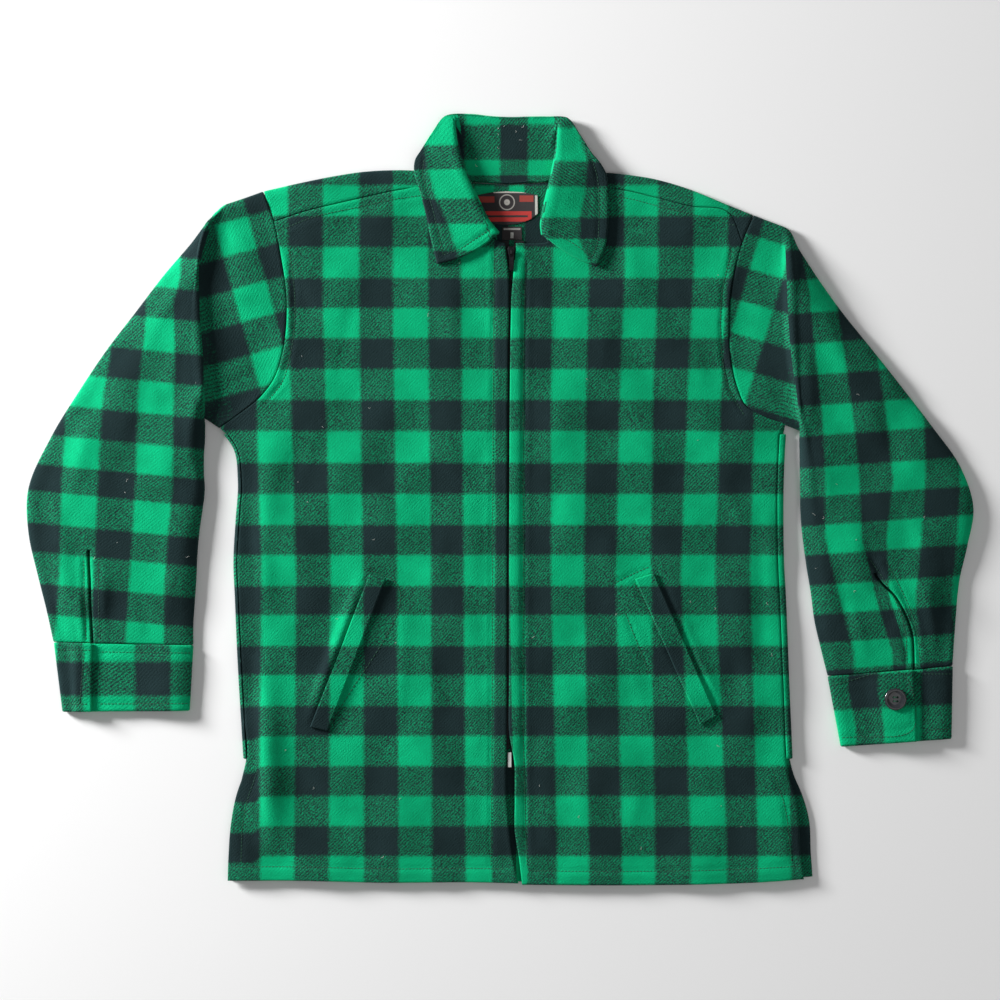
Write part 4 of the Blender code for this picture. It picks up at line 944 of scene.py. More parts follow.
def cloth(name, node, points, wall, step, check, relief=None, cells=None, ring=False, finish=None):
    """A cloth piece: a grid of middle points in mm, filled in, creased and made a wall."""
    rows, cols = points.shape[:2]
    width = cols if ring else cols - 1
    used = np.ones((rows - 1, width), bool)
    if cells is not None:
        used = np.array([[cells(r, c) for c in range(width)] for r in range(rows - 1)])
    grid = np.concatenate([points, points[:, :1]], axis=1) if ring else points
    near = np.concatenate([used[:, -1:] if ring else used[:, :1] & False, used], axis=1)
    far = np.concatenate([used, used[:, :1] if ring else used[:, :1] & False], axis=1)
    grid, row_of = finer(grid, (near | far).astype(float), step)
    used = used[row_of]
    edge = used[:1] & False
    live = np.concatenate([edge, used]) | np.concatenate([used, edge])
    turned_grid, col_of = finer(grid.transpose(1, 0, 2), live.T.astype(float), step, ring)
    grid = turned_grid.transpose(1, 0, 2)
    used = used[:, col_of]
    if relief is not None:
        x = grid[..., 0] / STEP + GRID_X
        y = GRID_Y - grid[..., 1] / STEP
        grid[..., 2] = np.maximum(relief(x, y, grid[..., 2]), wall / 2)
    if ring:
        grid = grid[:, :-1]
    obj = walled(name, grid, used, wall, ring, check, row_of, col_of)
    dress(obj, finish or WOOL, node)
    return obj


def walled(name, grid, used, wall, ring, check, row_of, col_of):
    """Closed wall round a grid of middle points, with the check's stripes as its UV map."""
    rows, cols = grid.shape[:2]
    number = np.arange(rows * cols).reshape(rows, cols)
    left = number if ring else number[:, :-1]
    right = np.roll(number, -1, axis=1) if ring else number[:, 1:]
    quads = np.stack([left[:-1], right[:-1], right[1:], left[1:]], axis=-1)[used]
    cell_r, cell_c = np.nonzero(used)
    cell_r = row_of[cell_r][:, None]
    cell_c = col_of[cell_c][:, None]
    spot = grid.reshape(-1, 3)
    corner = spot[quads]
    face = np.cross(corner[:, 2] - corner[:, 0], corner[:, 3] - corner[:, 1])
    middle = corner.mean(axis=1)
    normal = np.zeros_like(spot)
    inward = np.zeros_like(spot)
    for k in range(4):
        np.add.at(normal, quads[:, k], face)
        np.add.at(inward, quads[:, k], middle - corner[:, k])
    normal /= np.maximum(np.linalg.norm(normal, axis=1), 1e-12)[:, None]
    inward /= np.maximum(np.linalg.norm(inward, axis=1), 1e-12)[:, None]
    start = quads.ravel()
    stop = np.roll(quads, -1, axis=1).ravel()
    lone = ~np.isin(start * len(spot) + stop, stop * len(spot) + start)
    owner = np.nonzero(lone)[0] // 4
    start = start[lone]
    stop = stop[lone]
    on_rim = np.zeros(len(spot), bool)
    on_rim[start] = True
    inner = np.unique(quads)
    rim = np.unique(start)
    verts = []
    places = []
    total = 0
    for k, (height, inset) in enumerate(RIM_LEVELS):
        which = inner if k in (0, len(RIM_LEVELS) - 1) else rim
        shift = inward[which] * (inset * wall * on_rim[which])[:, None]
        verts.append((spot[which] + shift + normal[which] * height * wall) * MM)
        place = np.zeros(len(spot), int)
        place[which] = total + np.arange(len(which))
        places.append(place)
        total += len(which)
    faces = [places[0][quads], places[-1][quads[:, ::-1]]]
    bases = [quads, quads[:, ::-1]]
    owners = [np.arange(len(quads))] * 2
    for upper, lower in zip(places, places[1:]):
        faces.append(np.stack([upper[stop], upper[start], lower[start], lower[stop]], axis=1))
        bases.append(np.stack([stop, start, start, stop], axis=1))
        owners.append(owner)
    base = np.concatenate(bases)
    own = np.concatenate(owners)
    x = spot[base, 0] / STEP + GRID_X
    y = GRID_Y - spot[base, 1] / STEP
    u, v = check(x, y, cell_r[own], cell_c[own])
    data = bpy.data.meshes.new(name)
    data.from_pydata(np.concatenate(verts).tolist(), [], np.concatenate(faces).tolist())
    layer = data.uv_layers.new(name="check")
    layer.data.foreach_set("uv", np.stack([u, v], axis=-1).astype(np.float32).ravel())
    data.polygons.foreach_set("use_smooth", np.ones(len(data.polygons), bool))
    data.update()
    obj = bpy.data.objects.new(name, data)
    bpy.context.scene.collection.objects.link(obj)
    return obj


def dress(obj, finish, *nodes, body=COAT):
    """Gives a piece its material and its body, and hides the nodes that it stands for."""
    obj.data.materials.clear()
    obj.data.materials.append(bpy.data.materials[finish])
    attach(obj, body)
    if nodes and nodes[0]:
        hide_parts(*nodes)


def stripes(pick, across, table, first):
    """Stripe number with its share at each point. pick says which line of the table counts."""
    rows = np.asarray(table, float)
    sides = [np.interp(pick, rows[:, 0], rows[:, k]) for k in range(1, rows.shape[1])]
    out = first + np.minimum((across - sides[0]) / (sides[1] - sides[0]), 0.0)
    for low, high in zip(sides, sides[1:]):
        out = out + np.clip((across - low) / (high - low), 0.0, 1.0)
    return out + np.maximum((across - sides[-1]) / (sides[-1] - sides[-2]), 0.0)


def rows_of_check(x, y, table):
    """Row number with its share at each point."""
    first, x0, drop, sides = table
    return stripes(x, y - drop * (x - x0), ((0.0, *sides),), first)


def body_check(x, y, on_left):
    """Check of the fronts and of what shows of the back."""
    start, stop, above, below = HEM_DROP_AT
    hem_drop = HEM_DROP * smooth(-x, -start, -stop) * smooth(y, above, below)
    u = np.where(
        on_left,
        stripes(y, x, LEFT_FRONT_STRIPES, LEFT_FRONT_FROM),
        stripes(y, x, RIGHT_FRONT_STRIPES, RIGHT_FRONT_FROM),
    )
    return u, rows_of_check(x, y - hem_drop, BODY_ROWS)


def left_check(x, y, r, c):
    """Check of the left front."""
    return body_check(x, y, np.full(x.shape, True))


def right_check(x, y, r, c):
    """Check of the right front."""
    return body_check(x, y, np.full(x.shape, False))


def cap_check(x, y, cap):
    """Check of a sleeve's cap, which lies at a slant."""
    (cx, cy), (ax, ay), (bx, by) = cap
    turn = ax * by - bx * ay
    u = ((x - cx) * by - (y - cy) * bx) / turn
    v = ((y - cy) * ax - (x - cx) * ay) / turn
    # Past the limit the check holds on a black stripe: painted shade beside the left sleeve's ridge, a plain
    # black stripe beside the right one.
    u = np.maximum(u, -CAP_BLACK_AND_PAINTED_SHADE) if ay < 0 else np.minimum(u, CAP_BLACK_AND_PAINTED_SHADE)
    return u + 0.5, v + 0.5


def sleeve_check(cap, table, first, rows):
    """Check of a whole sleeve: its cap up to the ridge, then its length."""
    def check(x, y, r, c):
        cap_u, cap_v = cap_check(x, y, cap)
        in_cap = r < len(CAP_RINGS) - 1
        u = np.where(in_cap, cap_u, stripes(y, x, table, first))
        v = np.where(in_cap, cap_v, rows_of_check(x, y, rows))
        return u, v
    return check


def flat_check(table, first, rows):
    """Check of a piece that has one table."""
    def check(x, y, r, c):
        return stripes(y, x, table, first), rows_of_check(x, y, rows)
    return check


def collar_check(x, y, r, c):
    """Check of the collar: each leaf has its own, the inside another."""
    leaf = (c >= STAND_CELLS + 3) & ((r < COLLAR_OPEN[0]) | (r >= COLLAR_OPEN[1]))
    left = leaf & (r < COLLAR_OPEN[0]) & (x < np.interp(y, *LEFT_ROLL))
    right = leaf & (r >= COLLAR_OPEN[1]) & (x > np.interp(y, *RIGHT_ROLL))
    inside_u, inside_v = flat_check(INSIDE_STRIPES, INSIDE_FROM, INSIDE_ROWS_AND_SHADE)(x, y, r, c)
    left_u = stripes(y, x, LEFT_LEAF_STRIPES, LEFT_LEAF_FROM)
    right_u = stripes(y, -x, [(row[0], *(-v for v in row[1:])) for row in RIGHT_LEAF_STRIPES],
                      RIGHT_LEAF_FROM)
    u = np.where(left, left_u, np.where(right, right_u, inside_u))
    left_v = rows_of_check(x, y, LEFT_LEAF_ROWS)
    right_v = rows_of_check(x, y, RIGHT_LEAF_ROWS)
    v = np.where(left, left_v, np.where(right, right_v, inside_v))
    return u, v


def plain_check(x, y, r, c):
    """Cloth with no check: its layout place in mm."""
    return x * STEP, y * STEP


def troughs(x, y, table):
    """Height in mm that lines of sewing take off a layout point, with the puckers beside them."""
    total = np.zeros(x.shape)
    for depth, line in table:
        pts = np.asarray(line, float)
        low = pts.min(axis=0) - TROUGH_REACH
        high = pts.max(axis=0) + TROUGH_REACH
        close = (x > low[0]) & (x < high[0]) & (y > low[1]) & (y < high[1])
        px = x[close]
        py = y[close]
        best = np.full(px.shape, 1e9)
        place = np.zeros(px.shape)
        run = 0.0
        for (x0, y0), (x1, y1) in zip(pts, pts[1:]):
            long = math.hypot(x1 - x0, y1 - y0)
            t = np.clip(((px - x0) * (x1 - x0) + (py - y0) * (y1 - y0)) / long ** 2, 0, 1)
            off = np.hypot(px - x0 - t * (x1 - x0), py - y0 - t * (y1 - y0))
            place = np.where(off < best, run + t * long, place)
            best = np.minimum(off, best)
            run += long
        dip = np.exp(-((best / TROUGH_HALF) ** 2)) * (1 + 0.25 * np.sin(place / 1.9))
        swell = 0.45 * np.exp(-(((best - 4.6) / 2.6) ** 2)) * (1 + 0.5 * np.sin(place / 5.3))
        change = np.zeros(x.shape)
        change[close] = depth * (swell - dip)
        total = total + change
    return total


def drape(x, y):
    """Broad unevenness of loose cloth, mm. None at the zip, below the collar and at the cuffs."""
    wave = np.sin(x / 15.0 + 1.1 * np.sin(y / 37.0)) * np.sin(y / 26.0 + 0.9 * np.sin(x / 29.0))
    side = np.abs(x - ZIP_MIDDLE)
    free = smooth(side, 18, 44) * np.maximum(smooth(side, 100, 126), smooth(y, 268, 300))
    return DRAPE_RISE * (1 + wave) * free * (1 - smooth(y, 585, 625) * smooth(side, 268, 290))


def waver(x, y):
    """Slight unevenness of pressed wool, mm."""
    slow = np.sin(x / 13.1 + 1.3 * np.sin(y / 31.0)) * np.sin(y / 17.3 + 0.9 * np.sin(x / 23.0))
    quick = np.sin(x / 5.7 + 1.1 * np.sin(y / 9.1)) * np.sin(y / 6.9 + 0.7 * np.sin(x / 11.0))
    return 0.34 * slow + 0.12 * quick


def front_relief(x, y, z):
    """Height of the fronts' middle, mm."""
    hem = np.interp(x, [p[0] for p in HEM_LEFT + HEM_RIGHT], [p[1] for p in HEM_LEFT + HEM_RIGHT])
    double = HEM_DOUBLE * smooth(y - hem, *HEM_FOLD)
    small = FRONT_CREASE_RISE * folds(x, y, FRONT_CREASES)
    small = small + troughs(x, y, FRONT_SEWING) + waver(x, y)
    return front_height(x, y) + double + drape(x, y) + np.maximum(small, DEEPEST_FRONT)


def upper_relief(creases, sewing):
    """Creases and sewing on what lies on top, and shallow creases below."""
    def relief(x, y, z):
        upper = smooth(z, LOWER + TURN, UPPER)
        own = folds(x, y, creases)
        small = SLEEVE_CREASE_RISE * own + troughs(x, y, sewing) + waver(x, y) + drape(x, y)
        under = UNDER_CREASE_RISE * folds(x, y, BACK_CREASES) + UNDER_CREASE_RISE * own
        small = np.maximum(small, DEEPEST_UPPER)
        return z + upper * small + (1 - upper) * np.clip(under, 0.0, -DEEPEST_UPPER)
    return relief


def tube(points, radius, sides):
    """Corners and faces of a thread through points in mm, its ends closed to a point."""
    pts = np.asarray(points, float)
    way = np.gradient(pts, axis=0)
    way /= np.linalg.norm(way, axis=1, keepdims=True)
    flat = np.cross(way, (0.0, 0.0, 1.0))
    flat /= np.maximum(np.linalg.norm(flat, axis=1, keepdims=True), 1e-9)
    up = np.cross(flat, way)
    angle = 2 * math.pi * np.arange(sides) / sides
    ring = flat[:, None] * np.cos(angle)[None, :, None] + up[:, None] * np.sin(angle)[None, :, None]
    body = (pts[:, None] + radius * ring).reshape(-1, 3)
    verts = np.concatenate([body, pts[:1] - way[:1] * radius, pts[-1:] + way[-1:] * radius])
    faces = []
    for i in range(len(pts) - 1):
        for k in range(sides):
            n = (k + 1) % sides
            a, b = i * sides, (i + 1) * sides
            faces.append((a + k, b + k, b + n, a + n))
    head, tail, last = len(body), len(body) + 1, (len(pts) - 1) * sides
    for k in range(sides):
        n = (k + 1) % sides
        faces.append((head, k, n))
        faces.append((tail, last + n, last + k))
    return verts, faces


def joined(name, bits, finish, body=COAT):
    """One piece of many small bits, each a list of corners in mm and its faces."""
    verts = []
    faces = []
    total = 0
    for points, sides in bits:
        verts.append(np.asarray(points) * MM)
        faces += [tuple(total + k for k in side) for side in sides]
        total += len(points)
    data = bpy.data.meshes.new(name)
    data.from_pydata(np.concatenate(verts).tolist(), [], faces)
    data.polygons.foreach_set("use_smooth", np.ones(len(data.polygons), bool))
    data.update()
    obj = bpy.data.objects.new(name, data)
    bpy.context.scene.collection.objects.link(obj)
    dress(obj, finish, body=body)
    return obj


def surface(obj, x, y):
    """Height in mm of a piece's upper side over a layout point, or None."""
    px, py = lay(x, y)
    hit, spot, _, _ = obj.ray_cast((px * MM, py * MM, RAY_HEIGHT), (0.0, 0.0, -1.0))
    return spot.z / MM if hit else None


def sewing(obj, table, pitch, radius):
    """Stitches of thread along lines of the layout, on a piece's upper side."""
    bits = []
    for _, line in table:
        pts = np.asarray(line, float)
        total = np.linalg.norm(np.diff(pts, axis=0), axis=1).sum()
        count = int(total * STEP / pitch)
        for k in range(count):
            ends = along(pts, [(k + 0.18) / count, (k + 0.5) / count, (k + 0.82) / count])
            heights = [surface(obj, px, py) for px, py in ends]
            if None in heights or max(heights) - min(heights) > STEEPEST:
                continue
            middle = max(heights[1], (heights[0] + heights[2]) / 2) + 0.55 * radius
            heights = (heights[0] - 0.4 * radius, middle, heights[2] - 0.4 * radius)
            bits.append(tube(raised(ends, np.array(heights)), radius, 6))
    return bits


def picked(name):
    """Makes one object the only one that is selected."""
    bpy.ops.object.select_all(action="DESELECT")
    obj = bpy.data.objects[name]
    obj.select_set(True)
    bpy.context.view_layer.objects.active = obj
    return obj


def math_node(tree, operation, *values, clamp=False):
    """Math node whose inputs are sockets or numbers."""
    node = tree.nodes.new("ShaderNodeMath")
    node.operation = operation
    node.use_clamp = clamp
    for socket, value in zip(node.inputs, values):
        if isinstance(value, (int, float)):
            socket.default_value = value
        else:
            tree.links.new(value, socket)
    return node.outputs[0]


def noise_node(tree, scale, detail=2.0, vector=None):
    """Noise on the piece's own place, as its two outputs."""
    node = tree.nodes.new("ShaderNodeTexNoise")
    node.inputs["Scale"].default_value = scale
    node.inputs["Detail"].default_value = detail
    if vector is None:
        vector = tree.nodes.new("ShaderNodeTexCoord").outputs["Object"]
    tree.links.new(vector, node.inputs["Vector"])
    return node.outputs["Fac"], node.outputs["Color"]


def colour_mix(tree, share, first, second, blend="MIX"):
    """Mixed colour. Colours are sockets or values."""
    node = tree.nodes.new("ShaderNodeMix")
    node.data_type = "RGBA"
    node.blend_type = blend
    for index, value in ((0, share), (6, first), (7, second)):
        if isinstance(value, (int, float)):
            node.inputs[index].default_value = value
        elif isinstance(value, tuple):
            node.inputs[index].default_value = (*value, 1.0)
        else:
            tree.links.new(value, node.inputs[index])
    return node.outputs[2]


def finish_of(name, colour, roughness, metallic=0.0):
    """New material with its shader."""
    material = bpy.data.materials.get(name) or bpy.data.materials.new(name)
    material.use_nodes = True
    tree = material.node_tree
    tree.nodes.clear()
    shader = tree.nodes.new("ShaderNodeBsdfPrincipled")
    output = tree.nodes.new("ShaderNodeOutputMaterial")
    tree.links.new(shader.outputs["BSDF"], output.inputs["Surface"])
    shader.inputs["Base Color"].default_value = (*colour, 1.0)
    shader.inputs["Roughness"].default_value = roughness
    shader.inputs["Metallic"].default_value = metallic
    return tree, shader


def bump(tree, shader, height, distance, strength):
    """Raises the surface's grain in mm."""
    node = tree.nodes.new("ShaderNodeBump")
    node.inputs["Distance"].default_value = distance * MM
    node.inputs["Strength"].default_value = strength
    tree.links.new(height, node.inputs["Height"])
    tree.links.new(node.outputs["Normal"], shader.inputs["Normal"])


class JACKET_PG_wool(bpy.types.PropertyGroup):
    """Colours and grain of the wool."""

    green: bpy.props.FloatVectorProperty(
        name="Green", description="Green yarn", subtype="COLOR", size=3, min=0.0, max=1.0,
        default=(0.0006, 0.405, 0.170))
    black: bpy.props.FloatVectorProperty(
        name="Black", description="Black yarn", subtype="COLOR", size=3, min=0.0, max=1.0,
        default=(0.0110, 0.0250, 0.0270))
    thread: bpy.props.FloatVectorProperty(
        name="Thread", description="Sewing thread", subtype="COLOR", size=3, min=0.0, max=1.0,
        default=(0.004, 0.060, 0.030))
    repeat_wide: bpy.props.FloatProperty(
        name="Stripe width", description="Width of one stripe, mm", default=36.0, min=5.0, max=100.0)
    repeat_long: bpy.props.FloatProperty(
        name="Row height", description="Height of one row, mm", default=32.4, min=5.0, max=100.0)
    twill: bpy.props.FloatProperty(
        name="Twill", description="Pitch of the slanted ribs along a row, mm", default=3.9, min=1.0, max=20.0)
    nap: bpy.props.FloatProperty(
        name="Nap", description="Height of the raised fibres, mm", default=0.9, min=0.0, max=5.0)
    grain: bpy.props.FloatProperty(
        name="Mesh", description="Spacing of the cloth's mesh, mm", default=3.2, min=2.0, max=20.0)


class JACKET_PG_sewing(bpy.types.PropertyGroup):
    """Sizes of the stitches and the zip's teeth."""

    stitch: bpy.props.FloatProperty(
        name="Stitch", description="Pitch of the stitches", default=0.0036, min=0.001, max=0.02,
        unit="LENGTH")
    thread_radius: bpy.props.FloatProperty(
        name="Thread radius", description="Half the thickness of the thread", default=0.00036,
        min=0.0001, max=0.002, unit="LENGTH")
    tooth_pitch: bpy.props.FloatProperty(
        name="Tooth pitch", description="Distance from one tooth to the next", default=0.0026,
        min=0.001, max=0.01, unit="LENGTH")


def build_wool(sizes):
    """Napped wool twill with its check."""
    tree, shader = finish_of(WOOL, sizes.green, 0.92)
    uv = tree.nodes.new("ShaderNodeUVMap")
    uv.uv_map = "check"
    split = tree.nodes.new("ShaderNodeSeparateXYZ")
    tree.links.new(uv.outputs["UV"], split.inputs[0])
    _, fine_colour = noise_node(tree, 620.0, 2.0)
    channels = tree.nodes.new("ShaderNodeSeparateColor")
    tree.links.new(fine_colour, channels.inputs[0])
    shares = []
    for axis, channel in ((0, 0), (1, 1)):
        fuzz = math_node(tree, "MULTIPLY_ADD", channels.outputs[channel], 0.22, -0.11)
        place = math_node(tree, "ADD", split.outputs[axis], fuzz)
        wave = math_node(tree, "SINE", math_node(tree, "MULTIPLY", place, math.pi))
        shares.append(math_node(tree, "MULTIPLY_ADD", wave, 3.2, 0.5, clamp=True))
    both = math_node(tree, "MULTIPLY", shares[0], shares[1])
    either = math_node(tree, "ADD", shares[0], shares[1])
    one = math_node(tree, "MULTIPLY_ADD", both, -2.0, either)
    wide = math_node(tree, "MULTIPLY", split.outputs[0], 2 * math.pi * sizes.repeat_wide / sizes.twill)
    long = math_node(tree, "MULTIPLY", split.outputs[1], 2 * math.pi * sizes.repeat_long / sizes.twill)
    slant = math_node(tree, "ADD", wide, long)
    slant = math_node(tree, "MULTIPLY_ADD", channels.outputs[2], 5.0, slant)
    rib = math_node(tree, "SINE", slant)
    speck, _ = noise_node(tree, 700.0, 2.0)
    lit = math_node(tree, "MULTIPLY_ADD", speck, 1.6, -0.53)
    lit = math_node(tree, "MULTIPLY_ADD", rib, 0.18, lit, clamp=True)
    green_share = math_node(tree, "MULTIPLY_ADD", one, lit, both, clamp=True)
    colour = colour_mix(tree, green_share, tuple(sizes.black), tuple(sizes.green))
    broad, _ = noise_node(tree, 34.0, 3.0)
    fibres, _ = noise_node(tree, 1300.0, 2.0)
    tone = math_node(tree, "MULTIPLY_ADD", broad, 0.60, 0.70)
    tone = math_node(tree, "MULTIPLY", tone, math_node(tree, "MULTIPLY_ADD", fibres, 0.70, 0.65))
    shade = tree.nodes.new("ShaderNodeCombineColor")
    for socket in shade.inputs:
        tree.links.new(tone, socket)
    colour = colour_mix(tree, 1.0, colour, shade.outputs[0], "MULTIPLY")
    tree.links.new(colour, shader.inputs["Base Color"])
    shader.inputs["Sheen Weight"].default_value = 0.10
    shader.inputs["Sheen Roughness"].default_value = 0.45
    shader.inputs["Sheen Tint"].default_value = (0.25, 0.90, 0.75, 1.0)
    shader.inputs["Specular IOR Level"].default_value = 0.10
    grain = math_node(tree, "MULTIPLY_ADD", speck, 0.8, fibres)
    grain = math_node(tree, "MULTIPLY_ADD", rib, 0.10, grain)
    bump(tree, shader, grain, sizes.nap, 0.75)


def build_tape():
    """Woven zip tape."""
    tree, shader = finish_of(TAPE, (0.010, 0.010, 0.011), 0.88)
    wave = tree.nodes.new("ShaderNodeTexWave")
    wave.wave_type = "BANDS"
    wave.bands_direction = "DIAGONAL"
    wave.inputs["Scale"].default_value = 0.9
    uv = tree.nodes.new("ShaderNodeUVMap")
    uv.uv_map = "check"
    tree.links.new(uv.outputs["UV"], wave.inputs["Vector"])
    dark = colour_mix(tree, wave.outputs["Fac"], (0.006, 0.006, 0.007), (0.020, 0.020, 0.022))
    tree.links.new(dark, shader.inputs["Base Color"])
    bump(tree, shader, wave.outputs["Fac"], 0.25, 0.8)


def build_clouded(sizes):
    """Metals, the zip box with its painted glint, button, thread and lint: each goes unevenly from a dark
    colour to a light one.
    """
    thread = [tuple(share * v for v in sizes.thread) for share in (0.5, 1.4)]
    for name, roughness, metallic, scale, detail, dark, light, grain, rough in (*CLOUDED, (
        THREAD, 0.75, 0.0, 1600.0, 1.0, *thread, (0.1, 0.6), None,
    )):
        tree, shader = finish_of(name, light, roughness, metallic)
        cloud, _ = noise_node(tree, scale, detail)
        tree.links.new(colour_mix(tree, cloud, dark, light), shader.inputs["Base Color"])
        if grain:
            bump(tree, shader, cloud, *grain)
        if rough:
            tree.links.new(math_node(tree, "MULTIPLY_ADD", cloud, *rough), shader.inputs["Roughness"])
        if name == BUTTON:
            shader.inputs["Coat Weight"].default_value = 0.6
            shader.inputs["Coat Roughness"].default_value = 0.10


def between(tree, socket, low, high, edge=0.006):
    """1 where a socket lies between two values, with soft sides."""
    rise = math_node(tree, "MULTIPLY_ADD", socket, 1 / edge, -low / edge, clamp=True)
    fall = math_node(tree, "MULTIPLY_ADD", socket, -1 / edge, high / edge, clamp=True)
    return math_node(tree, "MULTIPLY", rise, fall)


def build_label_finish():
    """Woven label: dark ground, pale edge, red fields and a ring."""
    tree, shader = finish_of(LABEL, (0.02, 0.015, 0.016), 0.72)
    uv = tree.nodes.new("ShaderNodeUVMap")
    uv.uv_map = "check"
    split = tree.nodes.new("ShaderNodeSeparateXYZ")
    tree.links.new(uv.outputs["UV"], split.inputs[0])
    u, v = split.outputs[0], split.outputs[1]
    colour = (0.016, 0.010, 0.012)
    for low_u, high_u, low_v, high_v, paint in LABEL_FIELDS:
        share = math_node(tree, "MULTIPLY", between(tree, u, low_u, high_u), between(tree, v, low_v, high_v))
        colour = colour_mix(tree, share, colour, paint)
    off_u = math_node(tree, "MULTIPLY_ADD", u, 1.9, -1.9 * LABEL_RING[0])
    off_v = math_node(tree, "SUBTRACT", v, LABEL_RING[1])
    squares = [math_node(tree, "MULTIPLY", off, off) for off in (off_u, off_v)]
    away = math_node(tree, "SQRT", math_node(tree, "ADD", *squares))
    for low, high in LABEL_RING[2:]:
        colour = colour_mix(tree, between(tree, away, low, high, 0.02), colour, (0.50, 0.47, 0.43))
    weave = tree.nodes.new("ShaderNodeTexWave")
    weave.inputs["Scale"].default_value = 900.0
    place = tree.nodes.new("ShaderNodeTexCoord")
    tree.links.new(place.outputs["Object"], weave.inputs["Vector"])
    share = math_node(tree, "MULTIPLY", weave.outputs["Fac"], 0.35)
    colour = colour_mix(tree, share, colour, (0.01, 0.008, 0.009))
    tree.links.new(colour, shader.inputs["Base Color"])
    bump(tree, shader, weave.outputs["Fac"], 0.12, 0.6)


class JACKET_OT_finishes(bpy.types.Operator):
    """Makes the materials."""

    bl_idname = "jacket.finishes"
    bl_label = "Materials"

    def execute(self, context):
        build_wool(context.scene.jacket_wool)
        build_tape()
        build_clouded(context.scene.jacket_wool)
        build_label_finish()
        return {"FINISHED"}


class JACKET_OT_back(bpy.types.Operator):
    """Back panel with its turned shoulders and sides."""

    bl_idname = "jacket.back"
    bl_label = "Back"

    def execute(self, context):
        grid, is_cell = back_grid()
        middle = grid.shape[1] // 2

        def check(x, y, r, c):
            return body_check(x, y, np.broadcast_to(c < middle, x.shape))

        step = context.scene.jacket_wool.grain * 1.5
        obj = cloth("wool_back", "back", grid, WALL, step, check, upper_relief((), FRONT_SEWING), is_cell)
        return {"FINISHED"}


class JACKET_OT_fronts(bpy.types.Operator):
    """Both front panels."""

    bl_idname = "jacket.fronts"
    bl_label = "Fronts"

    def execute(self, context):
        step = context.scene.jacket_wool.grain
        for node, plan in front_plans():
            grid = raised(plan, front_height(plan[..., 0], plan[..., 1]))
            check = left_check if node == "front_left" else right_check
            obj = cloth("wool_" + node, node, grid, WALL, step, check, front_relief)
        return {"FINISHED"}


class JACKET_OT_sleeves(bpy.types.Operator):
    """Both sleeves, each a flattened tube with its placket slit."""

    bl_idname = "jacket.sleeves"
    bl_label = "Sleeves"

    def execute(self, context):
        step = context.scene.jacket_wool.grain
        relief = upper_relief(SLEEVE_CREASES, SLEEVE_SEWING)
        left = sleeve_check(LEFT_CAP, LEFT_SLEEVE_STRIPES, LEFT_SLEEVE_FROM, LEFT_SLEEVE_ROWS)
        right = sleeve_check(RIGHT_CAP, RIGHT_SLEEVE_STRIPES, RIGHT_SLEEVE_FROM, RIGHT_SLEEVE_ROWS)
        for node, check, shape in (
            ("sleeve_left", left, (ARMHOLE_LEFT, RIDGE_LEFT, LEFT_SECTIONS, LEFT_SLEEVE_FOLDS, 1)),
            ("sleeve_right", right, (ARMHOLE_RIGHT, RIDGE_RIGHT, RIGHT_SECTIONS, RIGHT_SLEEVE_FOLDS, -1)),
        ):
            grid, is_cell = sleeve_grid(*shape)
            obj = cloth("wool_" + node, node, grid, WALL, step, check, relief, is_cell, ring=True)
        return {"FINISHED"}


class JACKET_OT_cuffs(bpy.types.Operator):
    """Both cuffs, each lapped over itself."""

    bl_idname = "jacket.cuffs"
    bl_label = "Cuffs"

    def execute(self, context):
        step = context.scene.jacket_wool.grain
        left = flat_check(LEFT_CUFF_STRIPES, LEFT_CUFF_FROM, LEFT_CUFF_ROWS)
        right = flat_check(RIGHT_CUFF_STRIPES, RIGHT_CUFF_FROM, RIGHT_CUFF_ROWS)
        for node, corners, lap, check in (
            ("cuff_left", CUFF_LEFT, LAP_LEFT, left), ("cuff_right", CUFF_RIGHT, LAP_RIGHT, right),
        ):
            grid = cuff_grid(corners, lap)

            def relief(x, y, z):
                upper = smooth(z, CUFF_LEVELS[0] + 2, CUFF_LEVELS[1])
                return z + upper * np.maximum(troughs(x, y, CUFF_SEWING) + waver(x, y), DEEPEST_SMALL)

            obj = cloth("wool_" + node, node, grid, CUFF_WALL, step, check, relief)
        return {"FINISHED"}


class JACKET_OT_collar(bpy.types.Operator):
    """Collar, turned down at its sides and open at the back."""

    bl_idname = "jacket.collar"
    bl_label = "Collar"

    def execute(self, context):
        def relief(x, y, z):
            upper = smooth(z, 6.5, 8.0)
            return z + upper * np.maximum(troughs(x, y, LEAF_SEWING) + waver(x, y), DEEPEST_SMALL)

        step = context.scene.jacket_wool.grain * 0.7
        obj = cloth("wool_collar", "collar", collar_sections(), COLLAR_WALL, step, collar_check, relief)
        return {"FINISHED"}


class JACKET_OT_welts(bpy.types.Operator):
    """Folded welts of both pockets."""

    bl_idname = "jacket.welts"
    bl_label = "Pocket welts"

    def execute(self, context):
        step = context.scene.jacket_wool.grain * 0.5
        for node, corners, check in (
            ("pocket_welt_left", WELT_LEFT, left_check), ("pocket_welt_right", WELT_RIGHT, right_check),
        ):
            obj = cloth("wool_" + node, node, welt_grid(corners), WELT_WALL, step, check,
                        lambda x, y, z: z + drape(x, y))
        return {"FINISHED"}


